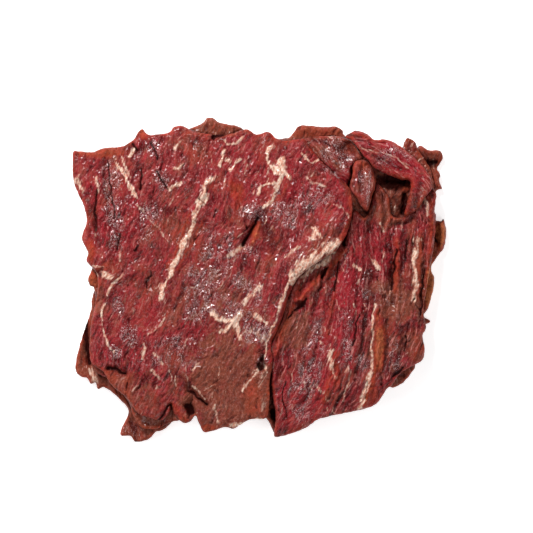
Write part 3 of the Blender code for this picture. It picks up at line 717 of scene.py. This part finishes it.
def meat_relief(sheet, points, grain, ragged):
    """Folds, lumps, bundles and crinkles, and the share of shade painted into the hollows between
    them.
    """
    seed = sheet.seed
    relief = np.zeros(len(points))
    for line, half_width, height in sheet.folds:
        distance = near_line(points, line, 3.0 * half_width)
        relief += height * bell(distance, half_width, FOLD_SHARPNESS)
    relief += 0.55 * lattice_noise(points, 10.0, seed + 3)
    lumps = lattice_noise(grain, (3.6, 8.0), seed + 4)
    bundles = 1.0 - 2.6 * np.abs(lattice_noise(grain, (3.0, 18.0), seed + 5))
    crinkles = 1.0 - 3.0 * np.abs(lattice_noise(grain, (1.9, 3.2), seed + 8))
    bundle_height = 0.5 if sheet.slot == "fibrous_meat" else 0.25
    middle_relief = 0.55 * lumps + bundle_height * bundles + 0.24 * crinkles
    relief += middle_relief
    relief += 0.16 * lattice_noise(grain, (1.1, 4.5), seed + 6)
    relief += 0.12 * ragged
    relief += 0.08 * lattice_noise(points, 0.9, seed + 7)
    return relief, smoothstep(0.12, -0.75, middle_relief + 0.15 * ragged)


def add_areas(sheet, points, tints, broad, ragged):
    for name in TINTS:
        for cx, cy, rx, ry, strength in TINTS[name].get(sheet.name, ()):
            middle = from_chart(((cx, cy),))[0]
            away = (points - middle) / (np.array((rx, ry)) * CHART_STEP)
            reach = np.hypot(away[:, 0], away[:, 1]) + 0.22 * broad + 0.16 * ragged
            tints[name] += strength * smoothstep(1.25, 0.55, reach)


def wobble(points, seed):
    """Points moved a little, so that lines drawn through them waver."""
    wobbled = points.copy()
    for number, (cell, swing) in enumerate(WOBBLES):
        first = seed + 15 + 2 * number
        wobbled += swing * np.c_[lattice_noise(points, cell, first),
                                 lattice_noise(points, cell, first + 1)]
    return wobbled


def add_lines(sheet, points, grain, relief, tints, broad, ragged):
    """Fat, ridges and slits along their lines."""
    wobbled = wobble(points, sheet.seed)
    strands = lattice_noise(grain, (1.0, 5.0), sheet.seed + 19)
    for line, half_width, strength in FAT.get(sheet.name, ()):
        distance = near_line(wobbled, from_chart(line), LINE_REACH * half_width)
        reach = distance / half_width + 0.3 * ragged + 0.55 * broad + 0.8 * strands
        share = strength * smoothstep(1.7, 0.1, reach)
        tints["fat"] = np.maximum(tints["fat"], share)
        relief += FAT_HEIGHT * share
    for line, half_width, height, tint, strength in RIDGES.get(sheet.name, ()):
        share = bell(near_line(wobbled, from_chart(line), LINE_REACH * half_width), half_width)
        relief += height * share
        tints[tint] = np.maximum(tints[tint], strength * share * (0.85 + 0.3 * ragged))
    for line, half_width, depth in SLITS.get(sheet.name, ()):
        share = bell(near_line(wobbled, from_chart(line), LINE_REACH * half_width), half_width)
        relief -= depth * share * (1.0 + 0.25 * ragged)
        # Shade painted into the slits
        tints["hole_shade"] += 0.85 * smoothstep(0.35, 0.95, share)
        tints["hollow_shade"] = np.maximum(tints["hollow_shade"], share)


def add_small_slits(sheet, points, relief, tints):
    """Many short seeded slits and pale streaks, all running with the fibres."""
    random = np.random.default_rng(sheet.seed + 100)
    low, high = points.min(0), points.max(0)
    area = float(np.prod(high - low))
    angle = math.radians(sheet.grain)
    for number in range(int(area / SMALL_SLIT_AREA)):
        place = random.uniform(low, high)
        turn = angle + random.normal(0.0, 0.35)
        reach = random.uniform(0.8, 2.6)
        step = reach * np.array((math.cos(turn), math.sin(turn)))
        bend = random.normal(0.0, 0.3, 2)
        line = (place - step, place + bend, place + step)
        half_width = random.uniform(0.25, 0.5)
        share = bell(near_line(points, line, 3.0 * half_width), half_width)
        if number % 3 == 0:
            tints["fat"] = np.maximum(tints["fat"], random.uniform(0.2, 0.6) * share)
            relief += 0.15 * share
        else:
            relief -= random.uniform(0.25, 0.7) * share
            # Shade painted into the small slits
            tints["hole_shade"] += random.uniform(0.3, 0.7) * share


def relief_and_tints(order, points):
    """Height above the plain sheet, and the share of each tint, at each point."""
    sheet = SHEETS[order]
    grain = grain_of(order, points)
    ragged = lattice_noise(points, 1.7, sheet.seed + 1)
    broad = lattice_noise(points, 7.0, sheet.seed + 2)
    tints = {name: np.zeros(len(points)) for name in TINT_NAMES}
    relief, tints["hollow_shade"] = meat_relief(sheet, points, grain, ragged)
    add_areas(sheet, points, tints, broad, ragged)
    add_lines(sheet, points, grain, relief, tints, broad, ragged)
    add_small_slits(sheet, points, relief, tints)

    # Wetness: where the coat is glossy and glints and sheen are painted
    clusters = lattice_noise(grain, (4.0, 8.0), sheet.seed + 20) + 0.5 * ragged
    tints["wet"] = (0.30 + 0.75 * tints["wet"]) * (1.0 + 0.9 * clusters)
    tints["wet"] = np.clip(tints["wet"], 0.0, MOST_WET) * (1.0 - 0.5 * tints["brown"])
    relief += tints["wet"] * 0.22 * lattice_noise(points, 1.2, sheet.seed + 12)
    if sheet.name == "right_sheet":
        beside_flap = smoothstep(5.0, 0.5, sample(DISTANCES[FLAP], points))
        relief += SEAM_LIFT * beside_flap * smoothstep(6.0, -4.0, points[:, 1])
    for name in TINT_NAMES:
        tints[name] = np.clip(tints[name], 0.0, 1.0 if name != "wet" else MOST_WET)
    return relief, tints, grain


def inward_directions(ring):
    tangent = np.roll(ring, -1, axis=0) - np.roll(ring, 1, axis=0)
    return np.c_[tangent[:, 1], -tangent[:, 0]] / np.linalg.norm(tangent, axis=1)[:, None]


def ragged_ring(sheet):
    """The sheet's outline with small seeded notches, kept within the box of the stack."""
    ring = curve_through(sheet.outline, OUTLINE_STEP, closed=True)
    notch = 0.22 * lattice_noise(ring, 2.4, sheet.seed + 9) - 0.05
    notch += 0.10 * lattice_noise(ring, 1.1, sheet.seed + 10)
    return np.clip(ring + inward_directions(ring) * notch[:, None], BOX_LOW, BOX_HIGH)


def nearest_distance(points, others):
    tree = KDTree(len(others))
    for number, (x, y) in enumerate(others):
        tree.insert((x, y, 0.0), number)
    tree.balance()
    return np.array([tree.find((x, y, 0.0))[2] for x, y in points])


def thinned(points, cell):
    """One point of each square cell at most."""
    keys = np.floor(points / cell).astype(int)
    first = np.unique(keys, axis=0, return_index=True)[1]
    return points[np.sort(first)]


def rim_rows(ring, insets):
    """Rows of points within the ring, and the distance of each to it."""
    inwards = inward_directions(ring)
    rows = []
    depths = []
    for inset in insets:
        moved = ring + inwards * inset
        moved = moved[is_inside(moved, ring)]
        moved = moved[nearest_distance(moved, ring) > INSET_CLEARANCE * inset]
        moved = thinned(moved, CROWDED_CELL)
        rows.append(moved)
        depths.append(np.full(len(moved), inset))
    return np.concatenate(rows), np.concatenate(depths)


def grid_points(ring, step, margin):
    """A grid of triangles within the ring, and the distance of each point to it."""
    low, high = ring.min(0), ring.max(0)
    rows = []
    for row, y in enumerate(np.arange(low[1], high[1], step * ROW_SHARE)):
        x = np.arange(low[0] + (row % 2) * 0.5 * step, high[0], step)
        rows.append(np.c_[x, np.full(len(x), y)])
    grid = np.concatenate(rows)
    grid = grid[is_inside(grid, ring)]
    depth = nearest_distance(grid, ring)
    return grid[depth > margin], depth[depth > margin]


def covered_depth(order, points):
    """How far each point lies within the sheets above, below zero in the open."""
    deepest = np.full(len(points), UNCOVERED)
    for upper in range(order + 1, len(SHEETS)):
        deepest = np.maximum(deepest, -sample(DISTANCES[upper], points))
    return deepest


def upper_points(order, ring):
    rows, row_depths = rim_rows(ring, UPPER_INSETS)
    fine, fine_depths = grid_points(ring, VISIBLE_STEP, UPPER_INSETS[-1] + 0.45 * VISIBLE_STEP)
    visible = covered_depth(order, fine) < COVERED_MARGIN
    coarse, coarse_depths = grid_points(ring, COVERED_STEP, COVERED_STEP)
    hidden = covered_depth(order, coarse) > COVERED_MARGIN + 0.5
    return (np.concatenate([rows, fine[visible], coarse[hidden]]),
            np.concatenate([row_depths, fine_depths[visible], coarse_depths[hidden]]))


def lower_points(ring):
    rows, row_depths = rim_rows(ring, LOWER_INSETS)
    coarse, coarse_depths = grid_points(ring, COVERED_STEP, 0.7 * COVERED_STEP)
    return np.concatenate([rows, coarse]), np.concatenate([row_depths, coarse_depths])


def triangulate(ring, inner, upwards):
    flat = np.concatenate([ring, inner])
    points = [Vector(point) for point in flat]
    result = delaunay_2d_cdt(points, [], [list(range(len(ring)))], 1, 1e-6)
    if len(result[0]) != len(points):
        raise ValueError("two points of a sheet are in one place")
    faces = np.array(result[2])
    a, b, c = (flat[faces[:, k]] for k in range(3))
    turn = (b - a)[:, 0] * (c - a)[:, 1] - (b - a)[:, 1] * (c - a)[:, 0]
    wrong = (turn > 0) != upwards
    faces[wrong] = faces[wrong][:, ::-1]
    return faces


def rim_share(depths):
    t = np.clip(depths / RIM_WIDTH, 0.0, 1.0)
    return np.sqrt(1.0 - (1.0 - t) ** 2)


def top_heights(order, flat, depths, relief):
    plain = thickness_at(order, flat)
    rounded = RIM_MIDDLE * plain + (plain + relief - RIM_MIDDLE * plain) * rim_share(depths)
    rounded = np.maximum(rounded, THINNEST)
    return np.minimum(sample(UNDERSIDES[order], flat) + rounded, BOX_TOP)


def bottom_heights(order, lower, depths):
    sunk = FILLED_GAP if order else 0.0
    bottom = sample(UNDERSIDES[order], lower) - sunk
    bottom += (RIM_MIDDLE * thickness_at(order, lower) + sunk) * (1.0 - rim_share(depths))
    return np.maximum(bottom, 0.0)


def add_rim_tints(sheet, flat, depths, cover, tints):
    """Painted shade under the sheets above, and an orange glow painted on thin lean rims for light
    shining through them.
    """
    # Shade painted under the sheets above
    tints["hollow_shade"] = np.maximum(tints["hollow_shade"], 0.7 * smoothstep(-1.2, -0.2, cover))
    thin_rim = (1.0 - smoothstep(0.3, 2.4, depths)) * smoothstep(0.5, -2.5, cover)
    patchy = 0.6 + 0.5 * lattice_noise(flat, 4.5, sheet.seed + 13)
    # Orange glow painted on thin rims, for light shining through them
    rim_glow = thin_rim * (1.0 - tints["fat"])
    tints["orange"] = np.maximum(tints["orange"], np.clip(0.85 * rim_glow * patchy, 0.0, 0.72))


def build_sheet(order):
    """One closed piece with rounded, slightly ragged rims."""
    sheet = SHEETS[order]
    ring = ragged_ring(sheet)
    upper, upper_depths = upper_points(order, ring)
    lower, lower_depths = lower_points(ring)
    flat = np.concatenate([ring, upper])
    depths = np.concatenate([np.zeros(len(ring)), upper_depths])

    relief, tints, grain = relief_and_tints(order, flat)
    cover = covered_depth(order, flat)
    relief *= 1.0 - smoothstep(-0.5, 1.5, cover)
    if order == FLAP:
        seam_side = smoothstep(-8.0, 4.0, flat[:, 0])
        relief -= SEAM_DROP * seam_side * (1.0 - smoothstep(0.0, 6.0, depths))
    add_rim_tints(sheet, flat, depths, cover, tints)

    vertices = np.concatenate([np.c_[flat, top_heights(order, flat, depths, relief)],
                               np.c_[lower, bottom_heights(order, lower, lower_depths)]])
    faces = triangulate(ring, upper, upwards=True)
    under = triangulate(ring, lower, upwards=False)
    under = np.where(under < len(ring), under, under + len(upper))
    faces = np.concatenate([faces, under])
    mesh = bpy.data.meshes.new(sheet.name + "_look")
    mesh.from_pydata((vertices * MILLIMETRE).tolist(), [], faces.tolist())
    mesh.update()
    mesh.shade_smooth()

    for name, values in tints.items():
        hidden = np.full(len(lower), HIDDEN_BROWN if name == "brown" else 0.0)
        layer = mesh.attributes.new(name, "FLOAT", "POINT")
        layer.data.foreach_set("value", np.concatenate([values, hidden]).astype(np.float32))
    vectors = np.c_[np.concatenate([grain, grain_of(order, lower)]), vertices[:, 2]]
    layer = mesh.attributes.new("grain", "FLOAT_VECTOR", "POINT")
    layer.data.foreach_set("vector", vectors.astype(np.float32).ravel())

    piece = bpy.data.objects.new(sheet.name + "_look", mesh)
    bpy.context.collection.objects.link(piece)
    mesh.materials.append(meat_material(sheet))
    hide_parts(sheet.name)
    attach(piece, "root")


def linear(red, green, blue):
    """Colour from 0 to 255 as light, with an alpha of one."""
    shares = (np.array((red, green, blue)) / 255.0).tolist()
    light = [c / 12.92 if c <= 0.04045 else ((c + 0.055) / 1.055) ** 2.4 for c in shares]
    return (*light, 1.0)


class Shader:
    """A material and short ways to add nodes to it."""

    def __init__(self, name):
        self.material = bpy.data.materials.new(name)
        self.material.use_nodes = True
        self.tree = self.material.node_tree
        self.surface = self.tree.nodes["Principled BSDF"].inputs

    def put(self, socket, value):
        if isinstance(value, bpy.types.NodeSocket):
            self.tree.links.new(value, socket)
        else:
            socket.default_value = value

    def node(self, kind, inputs, output=0, **settings):
        made = self.tree.nodes.new("ShaderNode" + kind)
        for name, value in settings.items():
            setattr(made, name, value)
        for key, value in inputs.items():
            self.put(made.inputs[key], value)
        return made.outputs[output]

    def tint(self, name):
        return self.node("Attribute", {}, output="Fac", attribute_name=name)

    def noise(self, across, along, up, detail=3.0, roughness=0.6, distortion=0.0):
        """Noise with so many cells for each millimetre across, along and above the fibres."""
        grain = self.node("Attribute", {}, output="Vector", attribute_name="grain")
        place = self.node("VectorMath", {0: grain, 1: (across, along, up)}, operation="MULTIPLY")
        return self.node("TexNoise", {"Vector": place, "Scale": 1.0, "Detail": detail,
                                      "Roughness": roughness, "Distortion": distortion})

    def between(self, value, low, high, start=0.0, end=1.0):
        return self.node("MapRange", {"Value": value, "From Min": low, "From Max": high,
                                      "To Min": start, "To Max": end},
                         interpolation_type="SMOOTHSTEP")

    def plus(self, a, b):
        return self.node("Math", {0: a, 1: b}, operation="ADD")

    def minus(self, a, b):
        return self.node("Math", {0: a, 1: b}, operation="SUBTRACT")

    def times(self, a, b):
        return self.node("Math", {0: a, 1: b}, operation="MULTIPLY")

    def at_most(self, a, limit):
        return self.node("Math", {0: a, 1: limit}, operation="MINIMUM")

    def from_half(self, value):
        """Distance of a noise from one half: small along thin winding lines."""
        return self.node("Math", {0: self.minus(value, 0.5)}, operation="ABSOLUTE")

    def mix(self, factor, a, b):
        return self.node("Mix", {0: factor, 6: a, 7: b}, output=2, data_type="RGBA")


# Light and dark red of each kind of meat, and the colours that go over them
MEAT_RED = {
    "lower_meat": (linear(152, 62, 44), linear(78, 18, 12)),
    "fibrous_meat": (linear(152, 44, 48), linear(72, 6, 9)),
    "pale_meat": (linear(164, 74, 68), linear(88, 22, 19)),
    "surface_meat": (linear(158, 50, 52), linear(86, 9, 14)),
}
CRIMSON = linear(156, 28, 40)
DEEP_CRIMSON = linear(86, 8, 14)
RUST = linear(152, 56, 36)
BROWN = linear(125, 65, 48)
TAN = linear(184, 112, 84)
ORANGE = linear(146, 60, 30)
EMBER = linear(176, 56, 34)
AMBER = linear(196, 116, 72)
FAT_CREAM = linear(238, 210, 188)
FAT_PINK = linear(204, 140, 118)
# Dark red of the fibres, and of the shade painted into hollows and between glints
FIBRE_AND_SHADE_RED = linear(66, 7, 7)
# Colour of the shade painted into slits and holes
HOLE_SHADE_RED = linear(38, 4, 3)
# Colour of the painted glints
GLINT = linear(232, 206, 204)
# Colour of the sheen painted over glossy patches
SHEEN_PINK = linear(190, 132, 128)
# Pale fibre streaks, partly a sheen painted along the fibres
PALE_FIBRE_SHEEN = linear(198, 122, 116)

Patterns = namedtuple("Patterns", "streak mottle fleck speck crinkle patches fibre worm")


def meat_patterns(shader):
    return Patterns(
        streak=shader.noise(0.55, 0.13, 0.3, detail=4.0, distortion=1.2),
        mottle=shader.noise(0.20, 0.15, 0.2, detail=5.0, roughness=0.65),
        fleck=shader.noise(1.15, 0.7, 0.8, distortion=0.5),
        speck=shader.noise(2.2, 1.5, 1.5, detail=2.0),
        crinkle=shader.from_half(shader.noise(0.75, 0.42, 0.6, distortion=1.5)),
        patches=shader.noise(0.075, 0.05, 0.1),
        fibre=shader.noise(1.0, 0.13, 0.5, detail=2.0, distortion=0.6),
        worm=shader.from_half(shader.noise(0.62, 0.38, 0.5, detail=2.0, distortion=2.0)),
    )


def red_colour(shader, sheet, pattern):
    """Lighter and darker red, with wide crimson and rusty patches and darker fibres."""
    light_red, dark_red = MEAT_RED[sheet.slot]
    share = shader.plus(shader.times(pattern.streak, 0.45), shader.times(pattern.fleck, 0.10))
    share = shader.plus(share, shader.times(pattern.mottle, 0.45))
    # Painted shade: the red is darker in the hollows and creases
    share = shader.minus(share, shader.times(shader.tint("hollow_shade"), 0.16))
    colour = shader.mix(shader.between(share, 0.32, 0.64), dark_red, light_red)
    stripes = shader.between(pattern.streak, 0.38, 0.62)
    colour = shader.mix(shader.between(pattern.patches, 0.50, 0.66, 0.0, 0.75), colour,
                        shader.mix(stripes, DEEP_CRIMSON, CRIMSON))
    colour = shader.mix(shader.between(pattern.patches, 0.50, 0.36, 0.0, 0.6), colour,
                        shader.mix(stripes, BROWN, RUST))
    return shader.mix(shader.between(pattern.fibre, 0.46, 0.30, 0.0, 0.6), colour, FIBRE_AND_SHADE_RED)


def add_tints(shader, sheet, pattern, colour):
    """Crimson, brown, tan, pale fibres with painted sheen, orange with a painted glow on thin rims,
    pits with painted shade, and fat, each over the ones before.
    """
    crimson = shader.times(shader.tint("crimson"),
                           shader.between(pattern.mottle, 0.35, 0.6, 0.35, 0.85))
    colour = shader.mix(crimson, colour, CRIMSON)
    brown = shader.plus(shader.tint("brown"),
                        shader.between(pattern.mottle, 0.42, 0.66, -0.3, 0.5))
    brown = shader.times(shader.between(brown, 0.0, 1.0), 0.85)
    colour = shader.mix(brown, colour, BROWN)
    tan = shader.times(shader.between(pattern.fleck, 0.56, 0.72),
                       shader.between(brown, 0.0, 0.8, 0.1, 0.5))
    colour = shader.mix(tan, colour, TAN)
    # Pale fibre streaks, partly a sheen painted along the fibres
    pale = 0.60 if sheet.slot == "fibrous_meat" else 0.20
    colour = shader.mix(shader.between(pattern.fibre, 0.58, 0.68, 0.0, pale), colour, PALE_FIBRE_SHEEN)
    orange = shader.times(shader.tint("orange"),
                          shader.between(pattern.fleck, 0.35, 0.6, 0.4, 0.95))
    warm = shader.mix(shader.between(pattern.mottle, 0.42, 0.60), ORANGE, EMBER)
    warm = shader.mix(shader.between(shader.tint("orange"), 0.72, 1.0, 0.0, 0.75), warm, AMBER)
    colour = shader.mix(orange, colour, warm)
    # Pits, and shade painted into the hollows, creases and slits
    pit_and_shade = shader.times(shader.between(pattern.fleck, 0.44, 0.28),
                       shader.between(pattern.mottle, 0.58, 0.40, 0.15, 0.75))
    pit_and_shade = shader.plus(pit_and_shade, shader.times(shader.between(shader.tint("hollow_shade"), 0.2, 1.0), 0.7))
    colour = shader.mix(shader.at_most(pit_and_shade, 0.92), colour, FIBRE_AND_SHADE_RED)
    fat = shader.plus(shader.tint("fat"), shader.between(pattern.fibre, 0.3, 0.7, -0.2, 0.2))
    fat = shader.minus(fat, shader.times(shader.tint("orange"), 0.5))
    fat_colour = shader.mix(shader.between(pattern.fleck, 0.40, 0.60), FAT_PINK, FAT_CREAM)
    return shader.mix(shader.between(fat, 0.1, 0.9), colour, fat_colour)


def add_gloss(shader, pattern, colour):
    """Shade painted between the glints, a painted pale sheen and thin painted glints where the meat
    is glossy, and shade painted into the slits.
    """
    cluster = shader.between(shader.tint("wet"), 0.25, 0.95)
    # Shade painted between the glints on the glossy patches
    hollows = shader.times(shader.between(cluster, 0.0, 1.0, 0.1, 0.45),
                           shader.between(pattern.worm, 0.04, 0.12))
    colour = shader.mix(hollows, colour, FIBRE_AND_SHADE_RED)
    # A pale sheen painted over the glossy patches
    sheen = shader.times(cluster, shader.between(pattern.streak, 0.46, 0.68, 0.0, 0.10))
    colour = shader.mix(sheen, colour, SHEEN_PINK)
    # Painted highlights: thin bright glints and specks
    glint = shader.times(shader.between(pattern.worm, 0.034, 0.010),
                         shader.between(pattern.fleck, 0.47, 0.56))
    glint = shader.plus(glint, shader.times(shader.between(pattern.speck, 0.58, 0.66), 0.4))
    glint = shader.times(glint, shader.between(cluster, 0.0, 1.0, 0.10, 0.85))
    glint = shader.times(glint, shader.between(shader.tint("orange"), 0.2, 0.7, 1.0, 0.5))
    colour = shader.mix(shader.at_most(glint, 0.95), colour, GLINT)
    # Black-red shade painted into the slits and holes
    return shader.mix(shader.between(shader.tint("hole_shade"), 0.1, 0.9, 0.0, 0.95), colour, HOLE_SHADE_RED)


def meat_material(sheet):
    shader = Shader(sheet.name + "_meat")
    pattern = meat_patterns(shader)
    colour = red_colour(shader, sheet, pattern)
    colour = add_tints(shader, sheet, pattern, colour)
    shader.put(shader.surface["Base Color"], add_gloss(shader, pattern, colour))
    shader.put(shader.surface["Roughness"], shader.between(pattern.fleck, 0.3, 0.7, 0.34, 0.55))
    shader.surface["Specular IOR Level"].default_value = 0.04

    coat = shader.times(shader.between(shader.tint("wet"), 0.0, 1.0, 0.07, 0.78),
                        shader.between(shader.tint("hole_shade"), 0.0, 0.6, 1.0, 0.1))
    coat = shader.times(coat, shader.between(shader.tint("orange"), 0.1, 0.6, 1.0, 0.1))
    shader.put(shader.surface["Coat Weight"], coat)
    shader.surface["Coat Roughness"].default_value = 0.05

    fine = shader.plus(shader.times(pattern.streak, 0.6), shader.times(pattern.fleck, 0.8))
    fine = shader.plus(fine, shader.times(pattern.speck, 0.15))
    fine = shader.minus(fine, shader.times(pattern.crinkle, 1.4))
    strength = shader.between(shader.tint("wet"), 0.0, 1.2, 0.45, 1.0)
    bump = shader.node("Bump", {"Height": fine, "Strength": strength, "Distance": 0.0007})
    shader.put(shader.surface["Normal"], bump)
    return shader.material


# Stage, in metres and watts: name, place, width and power of each lamp
LAMPS = (
    ("key", (-0.38, 0.72, 0.72), 0.30, 13.2),
    ("fill", (0.65, -0.55, 0.75), 0.7, 3.6),
    ("side", (-0.85, -0.2, 0.5), 0.5, 2.2),
)
LAMP_TARGET = (0.0, 0.0, 0.01)
WHITE = (1.0, 1.0, 1.0, 1.0)
FLOOR_REACH = 3.0
FLOOR_HEIGHT = -0.0002
VIEW_WIDTH = 0.2652
VIEW_MIDDLE = (0.00325, 0.00675, 0.016)


def add_lamp(name, place, width, power):
    light = bpy.data.lights.new(name, "AREA")
    light.shape = "DISK"
    light.size = width
    light.energy = power
    lamp = bpy.data.objects.new(name, light)
    lamp.location = place
    towards = Vector(LAMP_TARGET) - Vector(place)
    lamp.rotation_euler = towards.to_track_quat("-Z", "Y").to_euler()
    bpy.context.collection.objects.link(lamp)


def add_floor():
    mesh = bpy.data.meshes.new("floor")
    signs = ((-1, -1), (1, -1), (1, 1), (-1, 1))
    corners = [(FLOOR_REACH * x, FLOOR_REACH * y, 0.0) for x, y in signs]
    mesh.from_pydata(corners, [], [(0, 1, 2, 3)])
    floor = bpy.data.objects.new("floor", mesh)
    floor.location = (0.0, 0.0, FLOOR_HEIGHT)
    bpy.context.collection.objects.link(floor)
    shader = Shader("floor_paint")
    shader.surface["Base Color"].default_value = linear(246, 246, 246)
    shader.surface["Roughness"].default_value = 0.9
    shader.surface["Emission Color"].default_value = WHITE
    shader.surface["Emission Strength"].default_value = 0.62
    mesh.materials.append(shader.material)


def add_camera():
    data = bpy.data.cameras.new("camera")
    data.sensor_width = 36.0
    data.lens = 180.0
    camera = bpy.data.objects.new("camera", data)
    x, y, height = VIEW_MIDDLE
    camera.location = (x, y, height + VIEW_WIDTH * data.lens / data.sensor_width)
    bpy.context.collection.objects.link(camera)
    bpy.context.scene.camera = camera


def set_stage():
    """Near-white floor, soft light mainly from the far side, and the camera above."""
    add_floor()
    for lamp in LAMPS:
        add_lamp(*lamp)
    world = bpy.data.worlds.new("studio")
    world.use_nodes = True
    background = world.node_tree.nodes["Background"].inputs
    background["Color"].default_value = WHITE
    background["Strength"].default_value = 0.20
    bpy.context.scene.world = world
    add_camera()
    bpy.context.scene.view_settings.view_transform = "Standard"
    bpy.context.scene.view_settings.look = "None"


DISTANCES, UNDERSIDES = make_levels()

for position in range(len(SHEETS)):
    build_sheet(position)
set_stage()
